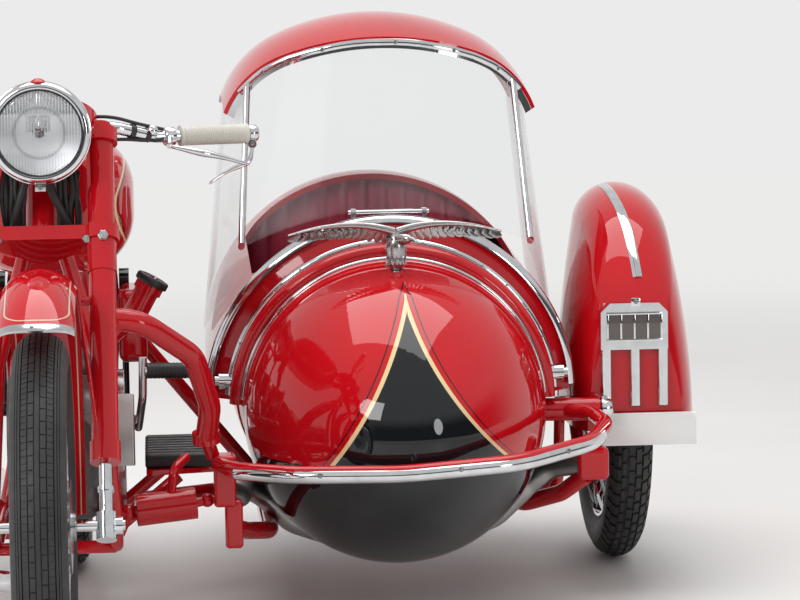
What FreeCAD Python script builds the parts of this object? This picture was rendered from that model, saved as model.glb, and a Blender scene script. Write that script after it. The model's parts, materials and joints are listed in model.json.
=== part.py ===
import FreeCAD, Part
import math
import os
import Sketcher
from types import SimpleNamespace
from FreeCAD import Placement, Rotation
from FreeCAD import Vector as V

# Sidecar motorcycle: a single-cylinder touring motorcycle with an enclosed single-seat sidecar on its left.
# Frame: millimetres, +Z up, the front faces -Y, +X is the vehicle's left, the floor is Z = 0.

doc = FreeCAD.newDocument("SidecarMotorcycle")
sheet = doc.addObject("Spreadsheet::Sheet", "Sizes")

# alias, value in millimetres or degrees, what it sizes
SIZES = [
    ("bike_x", -460.0, "the motorcycle's centre plane"),
    ("front_axle_y", -868.0, "the front axle"),
    ("wheelbase", 1472.0, "front axle to rear axle"),
    ("wheel_track", 1167.0, "the motorcycle's centre plane to the sidecar wheel"),
    ("wheel_lead", 62.0, "how far the sidecar wheel stands ahead of the rear wheel"),
    ("clearance", 0.3, "clearance between seated curved faces"),
    ("running_gap", 0.05, "radial clearance of a shaft in its bore"),
    ("tyre_outer", 330.0, "radius of every tyre"),
    ("tyre_thickness", 94.0, "width of every tyre's section"),
    ("rim_seat", 243.0, "radius where a tyre sits on its rim"),
    ("rim_depth", 18.0, "depth of a rim's well"),
    ("rim_width", 64.0, "width of a rim"),
    ("rim_lip", 3.0, "rolled edge of a rim"),
    ("hub_barrel", 62.0, "radius of a hub's drum"),
    ("hub_flange", 80.0, "radius of a hub's flanges"),
    ("hub_length", 104.0, "length of a hub"),
    ("hub_neck", 25.0, "radius of a hub's ends"),
    ("hub_web", 7.0, "thickness of a hub's flange"),
    ("axle_bar", 9.0, "radius of every axle"),
    ("spoke_radius", 1.8, "radius of a spoke"),
    ("rake", 27.0, "slope of the steering axis from upright"),
    ("fork_offset", 70.0, "axle ahead of the steering axis"),
    ("leg_spacing", 207.0, "between the centres of the fork legs"),
    ("leg_radius", 23.5, "radius of a fork leg"),
    ("leg_foot", 140.0, "lower end of a fork leg, along the leg from the axle"),
    ("slider_radius", 11.5, "radius of a fork slider"),
    ("yoke_low", 520.0, "lower yoke, along the leg from the axle"),
    ("yoke_high", 706.0, "upper yoke, along the leg from the axle"),
    ("yoke_thickness", 26.0, "thickness of a yoke"),
    ("stem_radius", 15.0, "radius of the steering stem"),
    ("head_radius", 31.0, "radius of the frame's head tube"),
    ("nacelle_radius", 98.0, "radius of the cover over the upper yoke"),
    ("nacelle_height", 54.0, "height of the cover over the upper yoke"),
    ("lamp_radius", 88.0, "radius of the headlamp's rim"),
    ("lamp_y", 222.0, "headlamp's rim behind the front axle"),
    ("lamp_height", 985.0, "height of the headlamp"),
    ("mudguard_arc", 368.0, "radius of the front mudguard over its wheel"),
    ("mudguard_half", 62.0, "half width of the motorcycle's mudguards"),
    ("sheet_thickness", 3.0, "thickness of mudguard sheet"),
    ("bar_radius", 11.0, "radius of the handlebar"),
    ("bar_half_width", 372.0, "centre to the end of the handlebar"),
    ("bar_height", 966.0, "height of the grips"),
    ("grip_radius", 17.0, "radius of a grip"),
    ("grip_length", 130.0, "length of a grip"),
    ("frame_tube", 14.0, "radius of the cradle tubes"),
    ("loop_tube", 11.0, "radius of the rear loops"),
    ("backbone_tube", 24.0, "radius of the backbone tube"),
    ("cradle_half", 112.0, "half width of the cradle"),
    ("cradle_height", 205.0, "height of the cradle's lower tubes"),
    ("crank_y", 800.0, "crankshaft behind the front axle"),
    ("crank_height", 362.0, "height of the crankshaft"),
    ("case_half", 88.0, "half width of the crankcase"),
    ("case_radius", 128.0, "radius of the crankcase"),
    ("barrel_radius", 56.0, "radius of the cylinder"),
    ("fin_radius", 82.0, "radius of the cylinder's fins"),
    ("fin_pitch", 16.0, "between two fins"),
    ("flywheel_radius", 138.0, "radius of the external flywheel"),
    ("flywheel_width", 18.0, "width of the external flywheel"),
    ("exhaust_x", 172.0, "exhaust right of the centre plane"),
    ("silencer_radius", 44.0, "radius of the silencer"),
    ("board_height", 316.0, "underside of the footboards"),
    ("board_thickness", 28.0, "thickness of the footboards' rubber"),
    ("body_x", 658.0, "sidecar body's axis from the motorcycle's centre plane"),
    ("body_front", 456.0, "tip of the sidecar's nose behind the front axle"),
    ("body_height", 362.0, "height of the body's axis at the tip of the nose"),
    ("body_pitch", 6.0, "rise of the body's axis toward the tail"),
    ("nose_length", 400.0, "length of the nose"),
    ("nose_radius", 297.0, "largest radius of the nose"),
    ("nose_tip", 205.0, "radius of the nose's blunt tip"),
    ("hoop_radius", 358.0, "radius of the cowl's outer band"),
    ("hoop_at", 490.0, "the outer band behind the tip of the nose"),
    ("hull_waist", 250.0, "radius of the hull just behind the nose"),
    ("hull_radius", 318.0, "largest radius of the hull"),
    ("body_length", 1620.0, "length of the sidecar's body"),
    ("body_wall", 12.0, "thickness of the body's wall with its frame and lining"),
    ("floor_height", 178.0, "height of the flat bottom under the cockpit"),
    ("tail_at", 1080.0, "where the tail starts to close, behind the tip of the nose"),
    ("tail_tip", 120.0, "radius of the tail's tip"),
    ("cockpit_half", 270.0, "half width of the opening in the cowl"),
    ("cockpit_length", 560.0, "length of the opening in the cowl"),
    ("canopy_hinge_y", 926.0, "canopy hinge behind the front axle"),
    ("canopy_hinge_z", 785.5, "height of the canopy's hinge"),
    ("hinge_pin", 5.0, "radius of the canopy's hinge rod"),
    ("roof_crown", 1171.0, "height of the roof's crown"),
    ("roof_crown_y", 1350.0, "the roof's crown behind the front axle"),
    ("roof_bow", 472.0, "radius of the roof's middle across the body"),
    ("roof_shoulder", 218.0, "radius of the roof's shoulders"),
    ("roof_flat", 197.0, "half width of the roof's middle"),
    ("roof_half", 310.0, "half width of the roof"),
    ("roof_sweep", 1020.0, "radius of the roof along the body"),
    ("roof_front_y", 1035.0, "middle of the roof's front edge behind the front axle"),
    ("roof_back", 13.0, "angle from the crown to the roof's back edge"),
    ("roof_sheet", 8.0, "thickness of the roof with its lining"),
    ("glazing", 4.0, "thickness of the clear panes"),
    ("pane_gap", 10.0, "gap between the canopy and the cowl"),
    ("rail_half", 250.0, "half the spacing of the chassis rails"),
    ("rail_height", 176.0, "height of the chassis rails"),
    ("chassis_tube", 17.0, "radius of the chassis tubes"),
    ("cross_tube", 22.5, "radius of the dropped cross tube"),
    ("bumper_radius", 15.0, "radius of the bumper's tube"),
    ("gooseneck_radius", 20.5, "radius of the curved front strut"),
    ("guard_width", 268.0, "width of the sidecar's mudguard at its foot"),
    ("guard_top", 807.0, "height of the sidecar's mudguard"),
    ("guard_foot", 335.0, "height of the lower edge of the sidecar's mudguard"),
    ("guard_wall", 5.0, "thickness of the sidecar's mudguard"),
    ("rack_hole", 4.25, "radius of the holes for a luggage rack"),
    ("stand_pivot_y", 960.0, "centre stand's pivot behind the front axle"),
    ("stand_pivot_z", 168.0, "height of the centre stand's pivot"),
]
for row, (alias, value, note) in enumerate(SIZES, start=1):
    sheet.set("A%d" % row, alias)
    sheet.set("B%d" % row, str(value))
    sheet.set("C%d" % row, note)
    sheet.setAlias("B%d" % row, alias)
doc.recompute()


class Size(float):
    """A length or angle that keeps the sheet expression it stands for, also after arithmetic."""

    def __new__(cls, value, text):
        number = super().__new__(cls, value)
        number.text = text
        return number

    def __add__(self, other):
        return worked_out(self, "+", other, float(self) + float(other))

    def __radd__(self, other):
        return worked_out(other, "+", self, float(other) + float(self))

    def __sub__(self, other):
        return worked_out(self, "-", other, float(self) - float(other))

    def __rsub__(self, other):
        return worked_out(other, "-", self, float(other) - float(self))

    def __mul__(self, other):
        return worked_out(self, "*", other, float(self) * float(other))

    def __rmul__(self, other):
        return worked_out(other, "*", self, float(other) * float(self))

    def __truediv__(self, other):
        return worked_out(self, "/", other, float(self) / float(other))

    def __neg__(self):
        return Size(-float(self), "(-1 * %s)" % self.text)


def worked_out(left, sign, right, value):
    texts = [term.text if isinstance(term, Size) else "%.6f" % term for term in (left, right)]
    return Size(value, "(%s %s %s)" % (texts[0], sign, texts[1]))


size = SimpleNamespace(**{row[0]: Size(float(sheet.get(row[0])), "Sizes." + row[0]) for row in SIZES})

# ---------------------------------------------------------------- parametric building blocks

NODES = []


def at(x, y, z):
    """A point given from the motorcycle's centre plane, the front axle and the floor."""
    return V(size.bike_x + x, size.front_axle_y + y, z)


def bind(thing, **values):
    """Sets an object's sizes, bound to the sheet wherever they come from it."""
    for name, value in values.items():
        setattr(thing, name, float(value))
        if isinstance(value, Size):
            thing.setExpression(name, value.text)
    return thing


def keep(name, thing):
    """Registers an object as the sub-part that is exported under its Label."""
    thing.Label = name
    NODES.append(thing)
    return thing


def primitive(kind, place, **values):
    thing = bind(doc.addObject("Part::" + kind, kind.lower()), **values)
    thing.Placement = place
    return thing


def worked(shape, place=None):
    """A shape made with Part's own functions from the sheet's values."""
    thing = doc.addObject("Part::Feature", "worked")
    thing.Shape = shape
    thing.Placement = (place or Placement()).multiply(shape.Placement)
    return thing


def pointing(start, along):
    return Placement(start, Rotation(V(0, 0, 1), along))


def bar(start, end, radius, end_radius=None, frame=Placement()):
    """A round bar, or a cone where an end radius is given."""
    along = end - start
    place = frame.multiply(pointing(start, along))
    if end_radius is None:
        return primitive("Cylinder", place, Radius=radius, Height=along.Length)
    return primitive("Cone", place, Radius1=radius, Radius2=end_radius, Height=along.Length)


def ball(centre, radius, frame=Placement()):
    return primitive("Sphere", frame.multiply(Placement(centre, Rotation())), Radius=radius)


def block(corner, length, width, height, fillet=0.0, frame=Placement()):
    """A box from its low corner, with every edge rounded where a fillet is given."""
    box = primitive("Box", frame.multiply(Placement(corner, Rotation())), Length=length, Width=width, Height=height)
    if not fillet:
        return box
    rounded = doc.addObject("Part::Fillet", "rounded")
    rounded.Base = box
    rounded.Edges = [(edge, float(fillet), float(fillet)) for edge in range(1, 13)]
    return rounded


def fuse(*things):
    if len(things) == 1:
        return things[0]
    fused = doc.addObject("Part::MultiFuse", "fused")
    fused.Shapes = list(things)
    fused.Refine = True
    return fused


def cut(base, *tools):
    """What is left of the base beside its neighbours or after its holes."""
    rest = doc.addObject("Part::Cut", "cut")
    rest.Base = base
    rest.Tool = fuse(*tools)
    rest.Refine = True
    return rest


def common(base, tool):
    shared = doc.addObject("Part::Common", "common")
    shared.Base = base
    shared.Tool = tool
    return shared


def group(things):
    """Several separate solids under one name."""
    compound = doc.addObject("Part::Compound", "group")
    compound.Links = list(things)
    return compound


def both_sides(make):
    """The left and the mirrored right piece, made by one function of the side's sign."""
    return [make(side) for side in (1, -1)]


def path_edges(points, bend):
    """Straight runs joined by tangent arcs of the bend radius, or as large as the runs allow."""
    edges = []
    start = points[0]
    for before, corner, after in zip(points, points[1:], points[2:]):
        back = (before - corner).normalize()
        on = (after - corner).normalize()
        turn = math.pi - back.getAngle(on)
        if turn < 1e-3:
            continue
        shorter = min((before - corner).Length, (after - corner).Length)
        reach = min(bend * math.tan(turn / 2), 0.45 * shorter)
        middle = (back + on).normalize()
        radius = reach / math.tan(turn / 2)
        arc_start, arc_end = corner + back * reach, corner + on * reach
        depth = radius / math.cos(turn / 2) - radius
        edges.append(line(start, arc_start))
        edges.append(arc(arc_start, corner + middle * depth, arc_end))
        start = arc_end
    edges.append(line(start, points[-1]))
    return edges


def pipe(points, radius, bend=60.0, frame=Placement()):
    """A round tube swept along straight runs and arcs."""
    points = [frame.multVec(point) for point in points]
    route = worked(Part.Wire(path_edges(points, bend)))
    ring = primitive("Circle", pointing(points[0], points[1] - points[0]), Radius=radius)
    tube = doc.addObject("Part::Sweep", "pipe")
    tube.Sections = [ring]
    tube.Spine = (route, [])
    tube.Solid = True
    tube.Frenet = True
    return tube


def loft(wires, ruled=False):
    """A solid through closed sections."""
    skin = doc.addObject("Part::Loft", "loft")
    skin.Sections = [worked(wire) for wire in wires]
    skin.Solid = True
    skin.Ruled = ruled
    return skin


def line(a, b):
    return Part.LineSegment(a, b).toShape()


def arc(a, b, c):
    return Part.Arc(a, b, c).toShape()


def face(*edges):
    return Part.Face(Part.Wire(list(edges)))


def polygon(corners):
    return Part.Wire(Part.makePolygon(list(corners) + [corners[0]]))


def spun(outline, base, axis, angle=360.0, frame=Placement()):
    """A face turned about an axis."""
    turn = doc.addObject("Part::Revolution", "turned")
    turn.Source = worked(outline, frame)
    turn.Base = frame.multVec(base)
    turn.Axis = frame.Rotation.multVec(axis)
    turn.Angle = angle
    turn.Solid = True
    turn.recompute()
    if turn.Shape.Volume < 0:
        turn.Source.Shape = outline.reversed()
        turn.Source.Placement = frame.multiply(outline.Placement)
    return turn


def pushed(outline, along, frame=Placement()):
    """A flat face pushed out along a vector."""
    pad = doc.addObject("Part::Extrusion", "pushed")
    pad.Base = worked(outline, frame)
    pad.DirMode = "Custom"
    pad.Dir = frame.Rotation.multVec(along)
    pad.LengthFwd = along.Length
    pad.Solid = True
    return pad


def plate(corners, along, frame=Placement()):
    return pushed(Part.Face(polygon(corners)), along, frame)


def turned(corners, place):
    """A body turned about its own X axis, from corners given as (along the axis, out from it)."""
    body = doc.addObject("PartDesign::Body", "body")
    plane = [feature for feature in body.Origin.OriginFeatures if feature.Role == "XY_Plane"][0]
    sketch = body.newObject("Sketcher::SketchObject", "outline")
    sketch.AttachmentSupport = (plane, "")
    sketch.MapMode = "FlatFace"
    points = [V(along, out, 0) for along, out in corners]
    for start, end in zip(points, points[1:] + points[:1]):
        sketch.addGeometry(Part.LineSegment(start, end), False)
    for index in range(len(points)):
        sketch.addConstraint(Sketcher.Constraint("Coincident", index, 2, (index + 1) % len(points), 1))
    for index, corner in enumerate(corners):
        for kind, value in zip(("DistanceX", "DistanceY"), corner):
            fixed = sketch.addConstraint(Sketcher.Constraint(kind, -1, 1, index, 1, float(value)))
            if isinstance(value, Size):
                sketch.setExpression("Constraints[%d]" % fixed, value.text)
    revolution = body.newObject("PartDesign::Revolution", "turned")
    revolution.Profile = sketch
    revolution.ReferenceAxis = (sketch, ["H_Axis"])
    revolution.Angle = 360.0
    body.Placement = place
    return body


UPRIGHT = Rotation(V(1, 0, 0), V(0, 0, 1))
ACROSS = Rotation()
ALONG = Rotation(V(1, 0, 0), V(0, 1, 0))

# ---------------------------------------------------------------- wheels

SPOKES_PER_SIDE = 18


def tyre(centre):
    """Round section, flat where it sits on the rim."""
    half = size.tyre_thickness / 2
    ring = primitive("Torus", pointing(centre, V(1, 0, 0)), Radius1=size.tyre_outer - half, Radius2=half)
    return cut(ring, bar(centre - V(100, 0, 0), centre + V(100, 0, 0), size.rim_seat))


def rim(centre):
    """Well in the middle, a seat for the tyre on both sides and rolled edges."""
    half, lip = size.rim_width / 2, size.rim_lip
    well = half / 2
    seat = size.rim_seat - size.clearance
    shelf, floor = seat - 2 * lip, seat - size.rim_depth
    return turned([(-half - lip, seat), (-half - lip, shelf), (-well - lip, shelf), (-well, floor), (well, floor),
                   (well + lip, shelf), (half + lip, shelf), (half + lip, seat)], Placement(centre, ACROSS))


def hub(centre):
    """Drum with two flanges, laced by two rows of crossed spokes."""
    half, web, neck = size.hub_length / 2, size.hub_web, size.hub_neck
    bore, drum, flange = size.axle_bar + size.running_gap, size.hub_barrel, size.hub_flange
    inner, outer = half - 2 * web, half - web
    shell = turned([(-half, bore), (-half, neck), (-outer, neck), (-outer, flange), (-inner, flange), (-inner, drum),
                    (inner, drum), (inner, flange), (outer, flange), (outer, neck), (half, neck), (half, bore)],
                   Placement(centre, ACROSS))
    step = 2 * math.pi / SPOKES_PER_SIDE
    root = flange - 4
    reach = size.rim_seat - size.clearance - size.rim_depth - 1.2
    spokes = []
    for side in (-1, 1):
        for index in range(SPOKES_PER_SIDE):
            turn = (index + side / 4) * step
            lean = 0.40 if index % 2 else -0.40
            start = V(side * (half - 1.5 * web), math.cos(turn) * root, math.sin(turn) * root)
            end = V(side * 6, math.cos(turn + lean) * reach, math.sin(turn + lean) * reach)
            spokes.append(bar(centre + start, centre + end, size.spoke_radius))
    return fuse(shell, *spokes)


# wheel, centre across, centre along
WHEELS = [
    ("front", 0.0, 0.0),
    ("rear", 0.0, size.wheelbase),
    ("sidecar", size.wheel_track, size.wheelbase - size.wheel_lead),
]
for wheel, across, along in WHEELS:
    middle = at(across, along, size.tyre_outer)
    keep(wheel + "_tyre", tyre(middle))
    keep(wheel + "_rim", rim(middle))
    keep(wheel + "_hub", hub(middle))

# ---------------------------------------------------------------- steering: fork, lamp, bars

# Fork pieces are drawn upright: their Z is the leg, their origin the axle, +Y behind the leg.
FORK = Placement(at(0, 0, size.tyre_outer), Rotation(V(1, 0, 0), -size.rake))
LAMP = at(0, size.lamp_y, size.lamp_height)
LAMP_STUD = LAMP + V(0, 30, 0)
STUD_RADIUS = 8.0
LEG_TOP = size.yoke_high + size.yoke_thickness


def yoke(level):
    """Tapered plate that holds both legs and the stem."""
    half, deep = size.leg_spacing / 2, size.fork_offset + 14
    outline = [V(-half, -14, level), V(half, -14, level), V(half, 18, level), V(26, deep, level), V(-26, deep, level),
               V(-half, 18, level)]
    pieces = [plate(outline, V(0, 0, size.yoke_thickness), FORK)]
    for x, y, radius in ((half, 0, size.leg_radius + 7), (-half, 0, size.leg_radius + 7),
                         (0, size.fork_offset, size.stem_radius * 2)):
        pieces.append(bar(V(x, y, level), V(x, y, level + size.yoke_thickness), radius, frame=FORK))
    return pieces


def lamp_plate(side):
    """Three-cornered plate from a leg to the lamp's stud."""
    inner = size.leg_spacing / 2 - size.leg_radius
    stud = FORK.inverse().multVec(LAMP_STUD)
    outline = [V(side * inner, y, z) for y, z in ((0, stud.z - 92), (0, stud.z + 8), (stud.y - 6, stud.z + 15),
                                                  (stud.y - 15, stud.z), (stud.y - 6, stud.z - 15))]
    return plate(outline, V(side * 6, 0, 0), FORK)


def fork_legs():
    """Two legs with their yokes, the steering stem and the plates that hold the lamp."""
    half, radius = size.leg_spacing / 2, size.leg_radius
    pieces = yoke(size.yoke_low) + yoke(size.yoke_high)
    for side in (1, -1):
        # lower end, upper end, radius
        for low, high, wide in ((size.leg_foot, LEG_TOP + 4, radius), (size.leg_foot - 28, size.leg_foot + 8, radius + 3),
                                (size.yoke_low - 60, size.yoke_low, radius + 2), (LEG_TOP + 4, LEG_TOP + 12, radius - 4)):
            pieces.append(bar(V(side * half, 0, low), V(side * half, 0, high), wide, frame=FORK))
        pieces.append(lamp_plate(side))
    pieces.append(bar(V(0, size.fork_offset, size.yoke_low), V(0, size.fork_offset, LEG_TOP - 6), size.stem_radius,
                      frame=FORK))
    return cut(fuse(*pieces), bar(LAMP_STUD - V(95, 0, 0), LAMP_STUD + V(95, 0, 0), STUD_RADIUS + size.clearance))


legs = keep("fork_legs", fork_legs())


def fork_sliders():
    """Sliders with their rings, axle clamps, nuts and the front axle."""
    half, radius = size.leg_spacing / 2, size.slider_radius
    pieces = []
    for side in (1, -1):
        for low, high, wide in ((-14, size.leg_foot - 28, radius), (-26, 22, radius + 6), (60, 68, radius + 2.5)):
            pieces.append(bar(V(side * half, 0, low), V(side * half, 0, high), wide, frame=FORK))
        pieces.append(bar(V(side * (half + radius + 4), 0, 0), V(side * (half + radius + 16), 0, 0), 15, frame=FORK))
    reach = half + radius + 20
    pieces.append(bar(V(-reach, 0, 0), V(reach, 0, 0), size.axle_bar, frame=FORK))
    return fuse(*pieces)


keep("fork_sliders", fork_sliders())


def crowned_strip(radius, half, drop, start, end, frame):
    """A crowned strip bent round the frame's X axis. Its angles run from straight behind, over the top."""
    left, top, right = V(-half, radius - drop, 0), V(0, radius, 0), V(half, radius - drop, 0)
    inset = V(0, -size.sheet_thickness, 0)
    section = face(arc(left, top, right), line(right, right + inset), arc(right + inset, top + inset, left + inset),
                   line(left + inset, left))
    section.rotate(V(0, 0, 0), V(1, 0, 0), start)
    return spun(section, V(0, 0, 0), V(1, 0, 0), end - start, frame)


def front_mudguard():
    """Deeply crowned mudguard, sprung with the legs, and its stays."""
    raised = FORK.multiply(Placement(V(0, 0, 75), Rotation(V(1, 0, 0), size.rake)))
    strip = crowned_strip(size.mudguard_arc, size.mudguard_half, 36.0, -18.0, 124.0, raised)
    half, edge = size.leg_spacing / 2, size.mudguard_half
    stays = []
    for side in (1, -1):
        stays.append(bar(V(side * (edge - 10), 0, 408), V(side * half, 0, 408), 8, frame=FORK))
        stays.append(bar(V(side * (edge - 1), -86, 398), V(side * (half - 12), -6, size.leg_foot + 14), 4, frame=FORK))
    return fuse(strip, *[cut(stay, legs) for stay in stays])


keep("front_mudguard", front_mudguard())


def headlamp_shell():
    """Bowl behind the rim, hung on two studs."""
    radius = size.lamp_radius - 6
    mouth, end = V(0, 8, radius), V(0, 68, 26)
    outline = face(arc(mouth, V(0, 44, radius * 0.82), end), line(end, V(0, 68, 0)), line(V(0, 68, 0), V(0, 8, 0)),
                   line(V(0, 8, 0), mouth))
    bowl = spun(outline, V(0, 0, 0), V(0, 1, 0), 360.0, Placement(LAMP, Rotation()))
    reach = size.leg_spacing / 2 - size.leg_radius + 14
    return fuse(bowl, bar(LAMP_STUD - V(reach, 0, 0), LAMP_STUD + V(reach, 0, 0), STUD_RADIUS))


def headlamp_rim():
    radius, back = size.lamp_radius, 8 - size.clearance
    return turned([(-12, radius - 14), (-12, radius - 8), (-2, radius), (back, radius), (back, radius - 14)],
                  Placement(LAMP, ALONG))


def headlamp_lens():
    """Slightly domed glass inside the rim."""
    radius, dome = size.lamp_radius - 14 - size.clearance, 11.0
    sphere = (radius * radius + dome * dome) / (2 * dome)
    lean = math.asin(radius / sphere) / 2
    edge, crown, back = V(0, -11, radius), V(0, -11 - dome, 0), 6.0
    middle = crown + V(0, sphere - sphere * math.cos(lean), sphere * math.sin(lean))
    outline = face(arc(edge, middle, crown), line(crown, V(0, back, 0)), line(V(0, back, 0), V(0, back, radius)),
                   line(V(0, back, radius), edge))
    return spun(outline, V(0, 0, 0), V(0, 1, 0), 360.0, Placement(LAMP, Rotation()))


keep("headlamp_shell", headlamp_shell())
keep("headlamp_rim", headlamp_rim())
keep("headlamp_lens", headlamp_lens())

# The bar runs straight through the nacelle, then back to the grips.
BAR_Y, BAR_Z = 383.0, 985.0


def bar_route(side):
    return [at(side * 130, BAR_Y, BAR_Z), at(side * 200, 415, size.bar_height),
            at(side * size.bar_half_width, 474, size.bar_height)]


def handlebar():
    return pipe(bar_route(-1)[::-1] + bar_route(1), size.bar_radius, 50.0)


def fork_nacelle():
    """Domed cover on the upper yoke, with the handlebar through it and a damper knob on top."""
    radius, height = size.nacelle_radius, size.nacelle_height
    place = FORK.multiply(Placement(V(0, 42, LEG_TOP), UPRIGHT))
    cover = turned([(0, 0), (0, 60), (14, 60), (14, radius), (height - 8, radius), (height, radius - 12),
                    (height + 8, radius * 0.45), (height + 8, 0)], place)
    knob = bar(V(0, 2, LEG_TOP + height), V(0, 2, LEG_TOP + height + 26), 11, 9, frame=FORK)
    hole = bar(at(-120, BAR_Y, BAR_Z), at(120, BAR_Y, BAR_Z), size.bar_radius + size.clearance)
    return cut(fuse(cover, knob), hole)


bars = keep("handlebar", handlebar())
keep("fork_nacelle", fork_nacelle())


def grip_line(side):
    """The end of the bar and the way along the grip to it."""
    inner, outer = bar_route(side)[1:]
    return outer, (outer - inner).normalize()


def grip(side):
    """Ribbed rubber sleeve."""
    outer, along = grip_line(side)
    start = outer - along * (size.grip_length + 4)
    sleeve = bar(start, start + along * size.grip_length, size.grip_radius)
    return cut(sleeve, bar(start - along, outer + along, size.bar_radius + size.running_gap))


def hand_lever(side):
    """Inverted lever pivoted at the bar's end, and a blade pivoted on a clip inboard of the grip."""
    outer, along = grip_line(side)
    cap = bar(outer, outer + along * 14, size.bar_radius + 3)
    pivot = outer + along * 8 + V(0, -10, -18)
    eye = bar(pivot + V(0, 9, 20), pivot - V(0, 3, 9), 8)
    inverted = pipe([pivot + V(0, 0, -2), pivot + V(-side * 24, -24, -42), pivot + V(-side * 64, -36, -84)], 4.0, 50.0)
    clip_at = outer - along * (size.grip_length + 24)
    clip = cut(bar(clip_at - along * 10, clip_at + along * 10, size.bar_radius + 6),
               bar(clip_at - along * 12, clip_at + along * 12, size.bar_radius + size.running_gap))
    arm = bar(clip_at + V(0, -14, -3), clip_at + V(0, -40, -16), 6)
    blade = pipe([clip_at + V(0, -38, -16), clip_at + along * 70 + V(0, -52, -34), clip_at + along * 150 + V(0, -46, -52)],
                 5.0, 120.0)
    return [cut(fuse(cap, eye, inverted), bars), fuse(clip, arm, blade)]


keep("grips", group(both_sides(grip)))
keep("hand_levers", group([lever for side in (1, -1) for lever in hand_lever(side)]))

# ---------------------------------------------------------------- motorcycle: seats, tank, frame

AXIS_TOP = FORK.multVec(V(0, size.fork_offset, size.yoke_high))
AXIS_LOW = FORK.multVec(V(0, size.fork_offset, size.yoke_low + size.yoke_thickness))
AXIS_ALONG = (AXIS_TOP - AXIS_LOW).normalize()
BACKBONE = [AXIS_LOW + AXIS_ALONG * 110, at(0, 560, 800), at(0, 1000, 742), at(0, 1130, 690)]


def rounded_section(y, half, low, high, corner):
    """Closed rounded outline across the vehicle at one station."""
    corner = min(corner, half * 0.98, (high - low) / 2 * 0.98)
    inset = corner * (1 - math.sqrt(0.5))
    edges = []
    corners = [(half, low, -1, 1), (half, high, -1, -1), (-half, high, 1, -1), (-half, low, 1, 1)]
    ends = []
    for index, (x, z, inward, upward) in enumerate(corners):
        level = at(x + inward * corner, y, z)
        upright = at(x, y, z + upward * corner)
        middle = at(x + inward * inset, y, z + upward * inset)
        ends.append((level, middle, upright) if index % 2 == 0 else (upright, middle, level))
    for index, (start, middle, end) in enumerate(ends):
        edges += [arc(start, middle, end), line(end, ends[(index + 1) % 4][0])]
    return Part.Wire(edges)


# station, half width, underside, top, corner radius
TANK = [(480, 84, 815, 928, 50), (540, 128, 735, 955, 88), (740, 158, 705, 962, 106), (900, 128, 722, 925, 88),
        (1010, 70, 745, 870, 50)]
SADDLE = [(1010, 52, 800, 845, 20), (1090, 100, 790, 842, 24), (1210, 150, 790, 846, 26), (1310, 142, 796, 868, 26),
          (1340, 110, 812, 872, 24)]
PILLION = [(1372, 90, 800, 850, 22), (1430, 122, 798, 862, 26), (1600, 122, 800, 866, 26), (1660, 86, 806, 852, 20)]


def station_loft(rows):
    return loft([rounded_section(*row) for row in rows])


tank = keep("fuel_tank", cut(station_loft(TANK), pipe(BACKBONE, size.backbone_tube + 1, 120.0)))
saddle = keep("rider_saddle", cut(station_loft(SADDLE), tank))
pillion = keep("pillion_seat", station_loft(PILLION))

# half width, behind the front axle, height, along each tube
CRADLE = [(16, 336, 834), (92, 408, 560), (size.cradle_half, 440, 270), (size.cradle_half, 510, size.cradle_height),
          (size.cradle_half, 980, size.cradle_height), (96, 1080, 290), (88, 1126, 480), (60, 1140, 690)]
LOOP = [(60, 1130, 690), (92, 1240, 742), (96, 1560, 762), (96, 1690, 752)]
REAR_STAY = [(96, 1080, 300), (110, 1360, 560), (96, 1500, 758)]
# cross members: behind the front axle, height, half width
CROSS_MEMBERS = [(510, size.cradle_height, size.cradle_half), (980, size.cradle_height, size.cradle_half),
                 (1130, 690, 62), (1560, 762, 96), (1080, 290, 98)]
# half the spacing of the two upright holes for a rack, behind the front axle, height of the eyes' middle
RACK_EYE = (96, 1702, 752)


def mirrored(route, side):
    return [at(side * x, y, z) for x, y, z in route]


def main_frame():
    """Head tube, backbone, twin cradle, the loops that carry the saddle, and eyes for a luggage rack."""
    tube, thin = size.frame_tube, size.loop_tube
    pieces = [bar(AXIS_LOW + AXIS_ALONG * 5, AXIS_TOP - AXIS_ALONG * 5, size.head_radius),
              pipe(BACKBONE, size.backbone_tube, 120.0),
              bar(at(0, 1066, 715), at(0, 1062, 770), 14)]
    holes = [bar(AXIS_LOW, AXIS_TOP, size.stem_radius + 6)]
    for side in (1, -1):
        pieces.append(pipe(mirrored(CRADLE, side), tube, 70.0))
        pieces.append(pipe(mirrored(LOOP, side), thin, 80.0))
        pieces.append(pipe(mirrored(REAR_STAY, side), thin, 200.0))
        pieces.append(block(at(side * 110 - 6, 940, 150), 12, 40, 60))
        pieces.append(bar(at(side * 92, 1420, 752), at(side * 92, 1420, 802), 8))
        pieces.append(bar(at(side * 92, 1590, 757), at(side * 92, 1590, 806), 8))
        pieces.append(bar(at(side * 92, 1260, 742), at(side * 92, 1270, 792), 14))
        edge, y, z = RACK_EYE
        pieces.append(bar(at(side * edge, y, z - 7), at(side * edge, y, z + 7), 16))
        holes.append(bar(at(side * edge, y, z - 20), at(side * edge, y, z + 20), size.rack_hole))
    for y, z, half in CROSS_MEMBERS:
        pieces.append(bar(at(-half, y, z), at(half, y, z), tube - 2))
    holes.append(bar(at(-130, size.stand_pivot_y, size.stand_pivot_z), at(130, size.stand_pivot_y, size.stand_pivot_z),
                     10 + size.running_gap))
    return cut(fuse(*pieces), saddle, pillion, *holes)


frame = keep("main_frame", main_frame())

# ---------------------------------------------------------------- motorcycle: engine and running gear


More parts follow.
